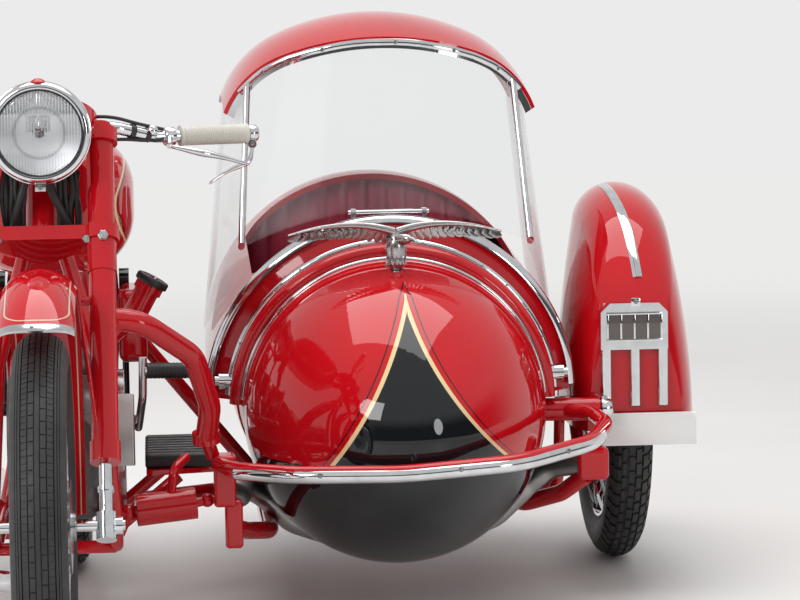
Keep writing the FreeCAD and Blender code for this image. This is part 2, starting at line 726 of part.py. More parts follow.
def engine_block():
    """Crankcase, gearbox and dynamo in one casting."""
    half, y, z = size.case_half, size.crank_y, size.crank_height
    return fuse(block(at(-half, 690, 222), 2 * half, 350, 250, 36),
                bar(at(-half - 4, y, z), at(half + 4, y, z), size.case_radius),
                bar(at(4 - half, 985, 330), at(half - 4, 985, 330), 70),
                bar(at(-62, 930, 492), at(62, 930, 492), 38))


engine = keep("engine_block", engine_block())


def engine_cylinder():
    """Forward-facing barrel and head with their fins."""
    z = size.crank_height
    barrel = bar(at(0, 455, z), at(0, 692, z), size.barrel_radius)
    head = bar(at(0, 455, z), at(0, 480, z), size.barrel_radius + 14)
    fins = [bar(at(0, 486 + index * size.fin_pitch, z), at(0, 490 + index * size.fin_pitch, z), size.fin_radius)
            for index in range(12)]
    return cut(fuse(barrel, head, *fins), engine)


cylinder = keep("engine_cylinder", engine_cylinder())


def flywheel():
    """Dished flywheel on the left end of the crankshaft, outside the case."""
    inner, outer, radius = size.case_half + 24, size.case_half + 24 + size.flywheel_width, size.flywheel_radius
    reach = outer - size.case_half
    return turned([(4, 0), (4, 26), (24, 26), (24, radius), (reach, radius), (reach, radius - 24), (reach - 8, radius - 34),
                   (reach - 8, 34), (reach + 6, 26), (reach + 6, 0)],
                  Placement(at(size.case_half, size.crank_y, size.crank_height), ACROSS))


def flywheel_guard():
    """Polished casting that hoods the front of the flywheel."""
    radius, inner = size.flywheel_radius + 8, size.case_half + 16
    a, b = V(inner, -radius, 0), V(inner + 42, -radius, 0)
    c, d, e = V(inner + 46, -radius - 5, 0), V(inner + 42, -radius - 11, 0), V(inner, -radius - 11, 0)
    section = face(line(a, b), arc(b, c, d), line(d, e), line(e, a))
    section.rotate(V(0, 0, 0), V(1, 0, 0), 10)
    centre = at(0, size.crank_y, size.crank_height)
    hood = spun(section, V(0, 0, 0), V(1, 0, 0), -52.0, Placement(centre, Rotation()))
    foot = bar(at(70, 700, 418), at(inner - 1, 670, 430), 9)
    return cut(fuse(hood, foot), engine)


keep("flywheel", flywheel())
keep("flywheel_guard", flywheel_guard())


def exhaust():
    """Header pipe from the head to a long fish-tail silencer on the right."""
    x = size.exhaust_x
    header = pipe([at(-20, 462, 312), at(-30, 452, 215), at(-66, 470, 148), at(-x, 560, 148), at(-x, 1010, 168)], 20.0, 50.0)
    can = turned([(0, 0), (0, 23), (80, size.silencer_radius), (560, size.silencer_radius), (700, 20), (700, 0)],
                 Placement(at(-x, 1000, 168), ALONG))
    hanger = bar(at(-100, 980, 200), at(-x, 1080, 190), 7)
    return cut(fuse(header, can, hanger), cylinder, frame)


keep("exhaust", exhaust())

REAR = at(0, size.wheelbase, size.tyre_outer)


def rear_mudguard():
    """Crowned mudguard over the rear wheel, hung from the loops."""
    strip = crowned_strip(392.0, size.mudguard_half + 4, 30.0, -2.0, 136.0, Placement(REAR, Rotation()))
    hanger = cut(bar(at(0, 1560, 706), at(0, 1560, 762), 9), frame)
    return fuse(strip, hanger)


guard_behind = keep("rear_mudguard", rear_mudguard())


def swing_arm():
    """Rear fork, its pivot and the rear axle."""
    y = size.wheelbase
    pieces = [bar(at(-80, 1080, 330), at(80, 1080, 330), 20), bar(at(-114, y, 330), at(114, y, 330), size.axle_bar)]
    for side in (1, -1):
        pieces.append(pipe([at(side * 66, 1080, 330), at(side * 82, 1180, 330), at(side * 84, y + 18, 330)], 15.0, 80.0))
        pieces.append(bar(at(side * 68, y, 330), at(side * 104, y, 330), 20))
    return cut(fuse(*pieces), frame)


rear_fork = keep("swing_arm", swing_arm())


def damper(side):
    """Friction damper arm between the rear fork and the stay, outboard of both."""
    low, high = (1426, 350), (1390, 620)
    return fuse(bar(at(side * 129, *low), at(side * 129, *high), 7), bar(at(side * 99.3, *low), at(side * 140, *low), 18),
                bar(at(side * 119, *high), at(side * 140, *high), 26))


keep("rear_dampers", group(both_sides(damper)))


def tool_box(side):
    return cut(block(at(118 if side > 0 else -176, 1160, 470), 58, 190, 150, 18), frame)


keep("tool_boxes", group(both_sides(tool_box)))


def footboard(side):
    """Rubber board with grooves across it."""
    low = 168 if side > 0 else -304
    slab = block(at(low, 720, size.board_height), 136, 280, size.board_thickness, 7)
    top = size.board_height + size.board_thickness
    grooves = [block(at(low - 2, 744 + 34 * index, top - 5), 140, 10, 8) for index in range(7)]
    return cut(slab, *grooves)


def footboard_bracket(side):
    """Tapered carrier plate on two arms from the cradle."""
    edge = size.cradle_half
    arms = [bar(at(side * edge, y, size.cradle_height), at(side * 232, y, size.board_height - 12), 12)
            for y in (706, 960)]
    z = size.board_height - 10
    outline = [at(side * x, y, z) for x, y in ((170, 696), (300, 730), (300, 980), (170, 990))]
    return cut(fuse(plate(outline, V(0, 0, 9.7)), *arms), frame)


keep("footboards", group(both_sides(footboard)))
brackets = keep("footboard_brackets", group(both_sides(footboard_bracket)))


def kickstart():
    """Kick lever on the left of the gearbox, folded up past the flywheel, with its rubber pedal."""
    arm = pipe([at(70, 985, 380), at(156, 985, 380), at(156, 800, 384), at(166, 756, 450), at(168, 750, 528)], 8.0, 40.0)
    pedal = bar(at(168, 752, 502), at(262, 790, 496), 11)
    tip = ball(at(266, 792, 496), 14)
    return cut(fuse(arm, pedal, tip), engine)


keep("kickstart_lever", kickstart())


def canister():
    """Inclined canister with a ridged cap beside the tank."""
    low, high = at(150, 850, 596), at(190, 848, 668)
    middle = low + (high - low) * 0.7
    neck = [bar(at(76, 850, 440), at(104, 850, 560), 12), bar(at(104, 850, 556), low, 16)]
    return cut(fuse(bar(low, middle, 24), bar(middle, high, 28), *neck), engine)


keep("canister", canister())


def rear_lamp():
    """Round tail lamp on a bracket."""
    y = size.wheelbase + 360
    body = fuse(bar(at(0, y + 6, 500), at(0, y + 48, 500), 34), block(at(-15, y, 478), 30, 20, 56))
    return cut(body, guard_behind)


keep("rear_lamp", rear_lamp())

STAND = (size.stand_pivot_y, size.stand_pivot_z)


def centre_stand():
    """Two legs on a cross tube, swung up behind the engine."""
    y, z = STAND
    pieces = [bar(at(-116, y, z), at(116, y, z), 10), bar(at(-100, y + 100, z - 18), at(100, y + 100, z - 18), 8)]
    for side in (1, -1):
        pieces.append(pipe([at(side * 88, y, z), at(side * 98, y + 120, z - 21), at(side * 100, y + 228, z - 30)], 9.0, 60.0))
        pieces.append(bar(at(side * 100, y + 222, z - 30), at(side * 100, y + 244, z - 32), 13))
    return fuse(*pieces)


keep("centre_stand", centre_stand())

# ---------------------------------------------------------------- sidecar body

# Body pieces are drawn level: their Y runs back from the nose's tip along the body's axis.
BODY = Placement(at(size.body_x, size.body_front, size.body_height), Rotation(V(1, 0, 0), size.body_pitch))
WAIST = 10.0
MOUTH = size.nose_length + size.clearance
FLOOR_TOP = size.floor_height + size.body_wall


def body_turned(pieces):
    """Turns a closed outline, of lines and arcs through (behind the nose's tip, radius), about the body's axis."""
    edges = [(line if len(points) == 2 else arc)(*[V(0, y, z) for y, z in points]) for points in pieces]
    outline = Part.Face(Part.Wire(Part.__sortEdges__(edges)))
    return spun(outline, V(0, 0, 0), V(0, 1, 0), 360.0, BODY)


def blunt_end(start, radius, end, tip, inset):
    """Two tangent arcs from the full radius at one station to a round tip on the axis at another."""
    way = 1 if end > start else -1
    reach = abs(end - start) - tip
    flank = (reach ** 2 + radius ** 2 - tip ** 2) / (2 * (radius - tip))
    turn = math.atan2(reach, flank - radius)

    def on(centre, arm, angle):
        return (centre[0] + way * arm * math.sin(angle), centre[1] + arm * math.cos(angle))

    flank_centre, tip_centre = (start, radius - flank), (end - way * tip, 0.0)
    arm, nose = flank - inset, tip - inset
    return [[on(flank_centre, arm, 0), on(flank_centre, arm, turn / 2), on(flank_centre, arm, turn)],
            [on(flank_centre, arm, turn), on(tip_centre, nose, (turn + math.pi / 2) / 2),
             (end - way * inset, 0.0)]]


def walled(outline):
    """The wall between an outline and the same outline set in by the body's wall."""
    outer, inner = outline(0), outline(size.body_wall)
    return body_turned(outer + inner + [[outer[0][0], inner[0][0]], [outer[-1][-1], inner[-1][-1]]])


def filled(outline, inset):
    """Everything inside an outline, closed across its open end."""
    outer = outline(inset)
    mouth = outer[0][0]
    return body_turned(outer + [[mouth, (mouth[0], 0.0)], [(mouth[0], 0.0), outer[-1][-1]]])


def nose_outline(inset):
    return blunt_end(size.nose_length, size.nose_radius, 0, size.nose_tip, inset)


def cowl_outline(inset):
    """Lip, rolled edge, recess, the seat of the outer band, the cockpit's sides and a round tail."""
    hoop, back, low, high = size.hoop_at, size.tail_at, size.nose_radius - inset, size.hoop_radius - inset
    return [[(MOUTH, low), (MOUTH + 18, low + 4)],
            [(MOUTH + 18, low + 4), (MOUTH + 35, low + 26), (MOUTH + 50, low + 16)],
            [(MOUTH + 50, low + 16), (hoop - 20, low + 28)],
            [(hoop - 20, low + 28), (hoop, high)],
            [(hoop, high), ((hoop + back) / 2, high + 4), (back, high)]] + \
        blunt_end(back, size.hoop_radius, size.body_length, size.tail_tip, inset)


def hull_outline(inset):
    """Step in behind the nose, swell under the cockpit and a round tail."""
    back, low, waist, wide = size.tail_at, size.nose_radius - inset, size.hull_waist - inset, size.hull_radius - inset
    return [[(MOUTH, low), (MOUTH + 40, waist)],
            [(MOUTH + 40, waist), (MOUTH + 200, waist + 46), (MOUTH + 400, wide - 2)],
            [(MOUTH + 400, wide - 2), ((MOUTH + 400 + back) / 2, wide + 1), (back, wide)]] + \
        blunt_end(back, size.hull_radius, size.body_length, size.tail_tip, inset)


def body_slab(low, high):
    """Everything between two levels of the body's own height."""
    return block(V(-600, -100, low), 1200, 2200, high - low, frame=BODY)


def level_slab(low, high):
    """Everything between two heights above the floor, under the body."""
    return block(at(size.body_x - 600, size.body_front - 100, low), 1200, 2200, high - low)


nose = keep("sidecar_nose", walled(nose_outline))
deck = WAIST + size.body_wall


def sidecar_tub():
    """Hull below the waist with its flat floor, and the ledge that carries the cowl."""
    hollow = filled(hull_outline, size.body_wall)
    shell = cut(walled(hull_outline), body_slab(WAIST, 900), level_slab(-900, size.floor_height))
    floor = common(level_slab(size.floor_height, FLOOR_TOP), filled(hull_outline, 0))
    ledge = cut(common(body_slab(WAIST, deck), filled(cowl_outline, 0)), hollow)
    return fuse(shell, floor, ledge)


def sidecar_cowl():
    """Cowl over the cockpit with its opening, and the rear deck."""
    opening = doc.addObject("Part::Fillet", "opening")
    opening.Base = block(V(-size.cockpit_half, size.hoop_at + 20, 60), 2 * size.cockpit_half, size.cockpit_length, 700,
                         frame=BODY)
    # the four upright edges of a box
    opening.Edges = [(edge, 90.0, 90.0) for edge in (1, 3, 5, 7)]
    return cut(walled(cowl_outline), body_slab(-900, deck), opening)


tub = keep("sidecar_tub", sidecar_tub())
cowl = keep("sidecar_cowl", sidecar_cowl())
CLEAR_OF_COWL = filled(cowl_outline, -size.clearance)


def band(station, radius, width, height):
    """A band over the top of the cowl from one side of its ledge to the other."""
    start = math.degrees(math.asin((deck + 1) / radius))
    low, high = V(radius - 2, station - width / 2, 0), V(radius - 2, station + width / 2, 0)
    outline = face(arc(low, V(radius + height, station, 0), high), line(high, low))
    outline.rotate(V(0, 0, 0), V(0, 1, 0), -start)
    return cut(spun(outline, V(0, 0, 0), V(0, 1, 0), 2 * start - 180, BODY), CLEAR_OF_COWL)


# station behind the nose's tip, radius there, width, height
BANDS = [(size.hoop_at, size.hoop_radius, 34, 13), (size.hoop_at - 34, size.nose_radius + 22, 14, 12),
         (MOUTH + 9, size.nose_radius + 2.5, 10, 3)]
bands = keep("cowl_bands", group([band(*row) for row in BANDS]))

HINGE = at(size.body_x, size.canopy_hinge_y, size.canopy_hinge_z)


def canopy_hinge():
    """Two ears on the cowl that hold the canopy's rod, and the fittings at the cowl's two lower ends."""
    bore = bar(HINGE - V(100, 0, 0), HINGE + V(100, 0, 0), size.hinge_pin + size.running_gap)
    pieces = []
    for side in (1, -1):
        corner = at(size.body_x + side * 70 - 5, size.canopy_hinge_y - 13, size.canopy_hinge_z - 70)
        pieces.append(cut(block(corner, 10, 26, 77), bore, CLEAR_OF_COWL, bands))
        fitting = fuse(bar(V(side * 300, 462, 50), V(side * 342, 462, 50), 17, frame=BODY),
                       bar(V(side * 340, 462, 50), V(side * 350, 462, 50), 10, frame=BODY))
        pieces.append(cut(fitting, CLEAR_OF_COWL, bands))
    return group(pieces)


hinge = keep("canopy_hinge", canopy_hinge())


def bird_mascot():
    """Spread-winged bird on a ringed pedestal."""
    foot = at(size.body_x, 752, 359 + size.nose_radius)
    post = turned([(0, 0), (0, 16), (14, 16), (18, 11), (36, 10), (40, 15), (46, 15), (50, 9), (58, 17), (80, 19),
                   (98, 8), (98, 0)], Placement(foot, UPRIGHT))
    sections = []
    # how far out, leading edge, trailing edge, underside and thickness of the wings
    for x, front, back, under, thick in ((-208, 24, 44, 109, 4), (-100, -4, 46, 96, 8), (0, -14, 32, 72, 16),
                                         (100, -4, 46, 96, 8), (208, 24, 44, 109, 4)):
        middle = (front + back) / 2
        sections.append(polygon([foot + V(x, front, under + thick / 2), foot + V(x, middle, under),
                                 foot + V(x, back, under + thick / 2), foot + V(x, middle, under + thick)]))
    head = bar(foot + V(0, -2, 90), foot + V(0, -24, 100), 10, 9)
    beak = bar(foot + V(0, -22, 99), foot + V(0, -44, 92), 8, 1.5)
    seat = common(filled(nose_outline, -size.clearance), block(at(size.body_x - 100, 652, 560), 200, 200, 200))
    return cut(fuse(post, loft(sections, True), head, beak), seat)


keep("bird_mascot", bird_mascot())
INSIDE = filled(hull_outline, size.body_wall + size.clearance)


def seat_cushion():
    return common(block(at(size.body_x - 188, 1130, FLOOR_TOP + size.clearance), 376, 320, 118, 26), INSIDE)


def seat_back():
    """Upright cushion behind the seat, widening to an arch under the cowl."""
    foot, shoulder, shoulder_height, crown, depth, lean = 96, 280, 424, 582, 84, 10
    left, right = V(-shoulder, 0, shoulder_height), V(shoulder, 0, shoulder_height)
    outline = face(line(V(-foot, 0, 0), V(foot, 0, 0)), line(V(foot, 0, 0), right), arc(right, V(0, 0, crown), left),
                   line(left, V(-foot, 0, 0)))
    base = FLOOR_TOP + size.clearance + depth * math.sin(math.radians(lean))
    return pushed(outline, V(0, depth, 0), Placement(at(size.body_x, 1462, base), Rotation(V(1, 0, 0), -lean)))


keep("sidecar_seat", seat_cushion())
keep("sidecar_backrest", seat_back())

# ---------------------------------------------------------------- canopy

ROOF_AXIS = at(size.body_x, size.roof_crown_y, size.roof_crown - size.roof_sweep)

# Plan of the glazing at two heights: height, half width and station of the pillars, station of the bow's
# middle, half width and station of the side's middle, half width and station of the side's end
GLAZING = [(500, 300, 925, 870, 346, 1090, 350, 1480), (1150, 258, 1130, 1045, 282, 1230, 290, 1520)]


def roof_arcs(offset):
    """The roof across the body, as three arcs from the right shoulder to the left one."""
    middle, shoulder = size.roof_bow, size.roof_shoulder
    lean = math.asin(size.roof_flat / middle)
    out = (middle - shoulder) * math.sin(lean)
    spread = math.asin((size.roof_half - out) / shoulder)
    centre = at(size.body_x, size.roof_crown_y, size.roof_crown - middle)

    def on_middle(angle):
        return centre + V(math.sin(angle), 0, math.cos(angle)) * (middle + offset)

    def on_shoulder(side, angle):
        hub_at = centre + V(side * out, 0, (middle - shoulder) * math.cos(lean))
        return hub_at + V(side * math.sin(angle), 0, math.cos(angle)) * (shoulder + offset)

    half = (lean + spread) / 2
    return [(on_shoulder(-1, spread), on_shoulder(-1, half), on_shoulder(-1, lean)),
            (on_middle(-lean), on_middle(0), on_middle(lean)),
            (on_shoulder(1, lean), on_shoulder(1, half), on_shoulder(1, spread))]


def swept_roof(section, front, back):
    section.rotate(ROOF_AXIS, V(1, 0, 0), front)
    return spun(section, ROOF_AXIS, V(1, 0, 0), back - front)


def roof_strip(low, high, front, back):
    """A strip of the roof between two offsets and two angles ahead of the crown."""
    under, over = roof_arcs(low), roof_arcs(high)
    edges = [arc(*points) for points in under + over]
    edges += [line(under[0][0], over[0][0]), line(under[-1][-1], over[-1][-1])]
    return swept_roof(Part.Face(Part.Wire(Part.__sortEdges__(edges))), front, back)


def bowed_slab(front, back):
    """Everything over a band in plan that follows the windscreen's bow."""
    def bow(y):
        return [at(size.body_x - 330, y + 98, 700), at(size.body_x, y, 700), at(size.body_x + 330, y + 98, 700)]
    fore, aft = bow(front), bow(back)
    outline = face(arc(*fore), line(fore[2], aft[2]), arc(*aft[::-1]), line(aft[0], fore[0]))
    slab = doc.addObject("Part::Extrusion", "slab")
    slab.Base = worked(outline)
    slab.DirMode = "Custom"
    slab.Dir = V(0, 0, 1)
    slab.LengthFwd = 600
    slab.Solid = True
    return slab


def under_roof(offset):
    """Everything below an offset from the roof's underside."""
    under = roof_arcs(offset)
    right, left = under[0][0], under[-1][-1]
    low = size.roof_crown - size.roof_sweep + 100
    corners = [left, V(left.x + 100, left.y, left.z), V(left.x + 100, left.y, low), V(right.x - 100, right.y, low),
               V(right.x - 100, right.y, right.z), right]
    edges = [arc(*points) for points in under] + [line(a, b) for a, b in zip(corners, corners[1:])]
    return swept_roof(Part.Face(Part.Wire(Part.__sortEdges__(edges))), 32.0, -32.0)


TRIM = 14.0
SHADE, BELOW_TRIM = under_roof(0), under_roof(-TRIM)
NEAR_BODY = filled(cowl_outline, -size.pane_gap)


def pane_strip(row, part, inset):
    """One curved strip of glazing in plan, as the three points of its arc."""
    height, pillar_x, pillar_y, bow_y, mid_x, mid_y, end_x, end_y = row
    cx = size.body_x
    if part == "front":
        return [at(cx - pillar_x, pillar_y + inset, height), at(cx, bow_y + inset, height),
                at(cx + pillar_x, pillar_y + inset, height)]
    side = 1 if part == "left" else -1
    return [at(cx + side * (pillar_x - inset * 0.7), pillar_y + 6 + inset * 0.7, height),
            at(cx + side * (mid_x - inset), mid_y, height), at(cx + side * (end_x - inset), end_y, height)]


def pane(part):
    """A ruled pane between the two plans, trimmed to the roof, to the body and to its frame."""
    wires = []
    for row in GLAZING:
        outer, inner = pane_strip(row, part, 0), pane_strip(row, part, size.glazing)
        wires.append(Part.Wire([arc(*outer), line(outer[2], inner[2]), arc(*inner[::-1]), line(inner[0], outer[0])]))
    return cut(common(loft(wires, True), BELOW_TRIM if part == "front" else SHADE), NEAR_BODY, canopy)


def canopy_frame():
    """Pillars, the trim along the roof's front edge and the hinge rod with its plate."""
    front = size.roof_front_y
    pieces = [common(roof_strip(-TRIM, -size.clearance, 22, 4), bowed_slab(front, front + 10))]
    low, high = GLAZING
    for side in (1, -1):
        foot = at(size.body_x + side * (low[1] + 4), low[2] + 2, low[0])
        top = at(size.body_x + side * (high[1] + 4), high[2] + 2, high[0])
        pieces.append(cut(common(bar(foot, top, 7), SHADE), NEAR_BODY))
    rod = bar(HINGE - V(80, 0, 0), HINGE + V(80, 0, 0), size.hinge_pin)
    return group([fuse(*pieces), fuse(rod, block(HINGE + V(-50, 0, 0), 100, 26, 4))])


canopy = keep("canopy_frame", canopy_frame())
keep("windscreen", pane("front"))
keep("side_windows", group([pane("left"), pane("right")]))
keep("canopy_roof", common(roof_strip(size.clearance, size.roof_sheet, 22, -size.roof_back),
                           bowed_slab(size.roof_front_y, 1900)))

# ---------------------------------------------------------------- sidecar chassis

LEFT_RAIL, RIGHT_RAIL = size.body_x + size.rail_half, size.body_x - size.rail_half


def run(points, radius, bend=60.0):
    """A tube through points given as (left of the motorcycle's centre plane, behind the front axle, height)."""
    return pipe([at(*point) for point in points], radius, bend)


def sidecar_chassis():
    """Two rails beside the floor, cross members, outriggers to the wheel side and the clamps at the front."""
    tube, z = size.chassis_tube, size.rail_height
    pieces = [run([(334, 620, 215), (360, 700, 195), (RIGHT_RAIL, 810, z), (RIGHT_RAIL, 1560, z)], tube, 120),
              run([(1032, 812, 268), (990, 880, 222), (930, 980, 188), (LEFT_RAIL, 1100, z), (LEFT_RAIL, 1560, z)], tube, 90),
              block(at(296, 590, 258), 42, 60, 98, 8), block(at(316, 596, 178), 34, 46, 92, 8),
              block(at(1012, 774, 262), 60, 52, 64, 10)]
    for y in (1100, 1250, 1540):
        pieces.append(block(at(RIGHT_RAIL, y - 15, size.floor_height - 30.2), 2 * size.rail_half, 30, 30))
    pieces.append(bar(at(LEFT_RAIL, 1250, z), at(1036, 1250, z), tube))
    for y in (1060, 1600):
        pieces.append(run([(LEFT_RAIL, min(y, 1550), z), (1006, y, z + 10), (1012, y, 392)], 11, 60))
        pieces.append(bar(at(1012, y, 384), at(1060, y, 384), 9))
    return cut(fuse(*pieces), tub)


def cross_tube():
    """Bright tube that drops under the nose from clamp to clamp."""
    return cut(run([(316, 622, 286), (346, 662, 268), (352, 800, 262), (358, 885, 256), (402, 916, 225), (455, 925, 172),
                    (524, 925, 148), (792, 925, 148), (861, 922, 172), (930, 905, 240), (975, 880, 276), (1040, 802, 296)],
                   size.cross_tube, 60), chassis_parts)


chassis_parts = sidecar_chassis()


def guard_section(row, inset):
    """One station of the sidecar's mudguard: two sides that close in an arch over a flat foot."""
    y, centre, share, tip, top = row
    foot = size.guard_foot - (20 if inset else 0)
    arcs = blunt_end(foot, share * size.guard_width / 2, top, tip, inset)
    corners = [[at(centre + side * x, y, z) for z, x in points] for side in (1, -1) for points in arcs]
    left, right = corners[:2], [points[::-1] for points in corners[:1:-1]]
    return Part.Wire([arc(*points) for points in left + right] + [line(right[-1][-1], left[0][0])])


# station behind the wheel's axle, centre, share of the full width, radius of the crown, height of the crown
AXLE = size.wheelbase - size.wheel_lead
GUARD = [(-465, 1150, 0.72, 66, 560), (-435, 1152, 0.84, 80, 640), (-350, 1158, 0.95, 88, 736),
         (-130, 1167, 1.0, 95, size.guard_top), (150, 1180, 0.74, 76, 768), (390, 1184, 0.56, 58, 560),
         (450, 1186, 0.40, 40, 440)]
GUARD = [(AXLE + row[0],) + row[1:] for row in GUARD]


def sidecar_mudguard():
    """Deep bell-shaped shell over the sidecar wheel."""
    wall = size.guard_wall
    first, last = GUARD[0], GUARD[-1]
    inner = [(first[0] + wall,) + first[1:]] + GUARD[1:-1] + [(last[0] - wall,) + last[1:]]
    hollow = loft([guard_section(row, wall) for row in inner])
    return cut(loft([guard_section(row, 0) for row in GUARD]), hollow)


guard_solid = loft([guard_section(row, 0) for row in GUARD])
guard = keep("sidecar_mudguard", sidecar_mudguard())
chassis = keep("sidecar_chassis", cut(chassis_parts, guard_solid))
tube_across = keep("cross_tube", cross_tube())


def guard_lamp_trim():
    """Shield-shaped trim with its lamp and three legs on the front of the mudguard."""
    y = AXLE - 484
    shield = [at(x, y, z) for x, z in ((1079, 500), (1214, 500), (1214, 575), (1196, 593), (1098, 593), (1079, 575))]
    legs_down = [block(at(x - 10, y + 2, 385), 20, 60, 120, 4) for x in (1090, 1148, 1204)]
    return cut(fuse(plate(shield, V(0, 60, 0)), *legs_down), guard_solid)


keep("guard_lamp_trim", guard_lamp_trim())


def front_bumper():
    """Bumper tube round the nose, with its end fitting on the wheel side."""
    hoop = run([(306, 606, 338), (330, 520, 340), (450, 448, 340), (640, 412, 342), (860, 448, 352), (1010, 580, 366),
                (1062, 740, 378), (1050, 860, 384), (1000, 900, 386)], size.bumper_radius, 150)
    socket = bar(at(1072, 900, 386), at(940, 912, 386), 23)
    return cut(fuse(hoop, socket), chassis, guard_solid)


bumper = keep("front_bumper", front_bumper())


def gooseneck_strut():
    """Curved strut from the steering head down to the front clamp, with its dark lower post."""
    strut = run([(40, 395, 644), (165, 395, 636), (262, 470, 560), (292, 560, 455), (283, 606, 385)],
                size.gooseneck_radius, 90)
    post = bar(at(284, 604, 392), at(296, 622, 352), 13)
    collar = bar(at(283, 605, 402), at(285, 609, 380), 26)
    return cut(fuse(strut, post, collar), frame, chassis, bumper)


gooseneck = keep("gooseneck_strut", gooseneck_strut())


def lower_link():
    """Ball joint on the cradle, a barrel, and a second ball joint at the clamp, with its elbow."""
    pieces = [ball(at(134, 610, 250), 17), bar(at(112, 612, 205), at(130, 610, 246), 13),
              bar(at(134, 610, 250), at(152, 611, 254), 10), bar(at(150, 611, 254), at(262, 622, 264), 30),
              bar(at(260, 622, 264), at(284, 624, 268), 9), ball(at(284, 624, 268), 13),
              bar(at(284, 624, 268), at(300, 624, 270), 8),
              run([(215, 614, 280), (222, 620, 330), (246, 662, 346)], 9, 30)]
    return cut(fuse(*pieces), frame, chassis, gooseneck)


def rear_struts():
    """Upper and lower struts from the motorcycle's frame to the right rail."""
    upper = run([(106, 1374, 562), (RIGHT_RAIL, 1374, 190)], 15)
    lower = run([(106, 985, 212), (RIGHT_RAIL, 1330, 186)], 15)
    return cut(group([upper, lower]), frame, chassis, engine, boxes, exhaust_pipe, brackets)


boxes = [thing for thing in NODES if thing.Label == "tool_boxes"][0]
exhaust_pipe = [thing for thing in NODES if thing.Label == "exhaust"][0]
keep("lower_link", lower_link())
keep("rear_struts", rear_struts())


def sidecar_swing_arm():
    """Trailing arm inboard of the sidecar wheel, with its pivot and the wheel's axle."""
    y = size.wheelbase - size.wheel_lead
    inner = size.wheel_track - size.hub_length / 2 - 8
    arm = run([(1000, 1250, 196), (inner - 22, 1300, 226), (inner - 22, y, size.tyre_outer)], 14, 80)
    pivot = bar(at(985, 1250, 196), at(1030, 1250, 196), 20)
    boss = bar(at(inner - 40, y, size.tyre_outer), at(inner, y, size.tyre_outer), 20)
    axle = bar(at(inner - 20, y, size.tyre_outer), at(size.wheel_track + size.hub_length / 2 + 10, y, size.tyre_outer),
               size.axle_bar)
    return cut(fuse(arm, pivot, boss, axle), chassis)


keep("sidecar_swing_arm", sidecar_swing_arm())

# ---------------------------------------------------------------- checks and files

doc.recompute()
os.makedirs("parts", exist_ok=True)
for thing in doc.Objects:
    if "Invalid" in thing.State:
        raise SystemExit("%s could not be made" % thing.Label)
for node in NODES:
    shape = node.Shape
    if shape.isNull() or not shape.isValid():
        raise SystemExit("%s has no valid shape" % node.Label)
for node in NODES:
    Part.export([node], os.path.join("parts", node.Label + ".step"))
    print("%-20s %2d solids %10.0f mm3" % (node.Label, len(node.Shape.Solids), node.Shape.Volume))
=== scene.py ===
import json
import math

import bmesh
import bpy
import numpy as np
from mathutils import Matrix, Vector
from mathutils.bvhtree import BVHTree


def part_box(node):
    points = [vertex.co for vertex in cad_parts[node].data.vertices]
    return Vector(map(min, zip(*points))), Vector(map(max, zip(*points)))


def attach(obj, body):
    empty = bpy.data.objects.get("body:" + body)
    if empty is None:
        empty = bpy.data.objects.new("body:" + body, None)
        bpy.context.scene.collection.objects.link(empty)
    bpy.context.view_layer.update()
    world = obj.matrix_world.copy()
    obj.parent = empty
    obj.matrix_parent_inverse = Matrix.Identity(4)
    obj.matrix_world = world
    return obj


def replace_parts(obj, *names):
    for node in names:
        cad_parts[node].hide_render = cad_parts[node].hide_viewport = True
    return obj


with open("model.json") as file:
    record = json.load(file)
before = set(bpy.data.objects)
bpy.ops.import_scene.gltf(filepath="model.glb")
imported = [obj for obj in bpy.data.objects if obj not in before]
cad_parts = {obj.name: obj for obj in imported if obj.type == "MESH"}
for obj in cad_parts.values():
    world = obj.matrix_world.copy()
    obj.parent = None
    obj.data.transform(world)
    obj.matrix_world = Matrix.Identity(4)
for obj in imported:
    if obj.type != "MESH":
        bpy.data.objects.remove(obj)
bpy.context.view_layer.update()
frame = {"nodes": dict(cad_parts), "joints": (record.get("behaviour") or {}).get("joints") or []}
nodes = frame["nodes"]
hinges = {joint["name"]: Vector(joint["pos_m"]) for joint in frame["joints"]}
frontAxle = hinges["front_wheel_spin"]
mm = 0.001


def say(stage):
    print("motorcycle:", stage, flush=True)


def at(x, y, z):
    # millimetres from the motorcycle's middle plane, the front axle and the floor
    return Vector((frontAxle.x + x * mm, frontAxle.y + y * mm, z * mm))


def off(x, y, z):
    # a step in millimetres
    return Vector((x, y, z)) * mm


def boxOf(node):
    return [Vector(corner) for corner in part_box(node)]


def middleOf(node):
    low, high = boxOf(node)
    return (low + high) / 2


def linked(name, data):
    thing = bpy.data.objects.new(name, data)
    bpy.context.scene.collection.objects.link(thing)
    return thing


# ---- camera

camera = {
    "place": (-0.2665, -6.2062, 1.2265),
    "yaw": 0.0772,
    "pitch": 0.0978,
    "roll": -0.0155,
    "lens": 143.28,
}


def makeCamera(size):
    yaw, pitch, roll = size["yaw"], size["pitch"], size["roll"]
    ahead = Vector((math.sin(yaw) * math.cos(pitch), math.cos(yaw) * math.cos(pitch), -math.sin(pitch)))
    level = Vector((math.cos(yaw), -math.sin(yaw), 0.0))
    upright = level.cross(ahead)
    right = level * math.cos(roll) + upright * math.sin(roll)
    top = upright * math.cos(roll) - level * math.sin(roll)
    data = bpy.data.cameras.new("camera")
    data.lens = size["lens"]
    data.sensor_width = 36.0
    data.clip_end = 60.0
    seen = linked("camera", data)
    seen.matrix_world = Matrix.Translation(size["place"]) @ Matrix((right, top, -ahead)).transposed().to_4x4()
    bpy.context.scene.camera = seen


makeCamera(camera)
say("camera set")

# ---- nodes of materials and of geometry, written as sums


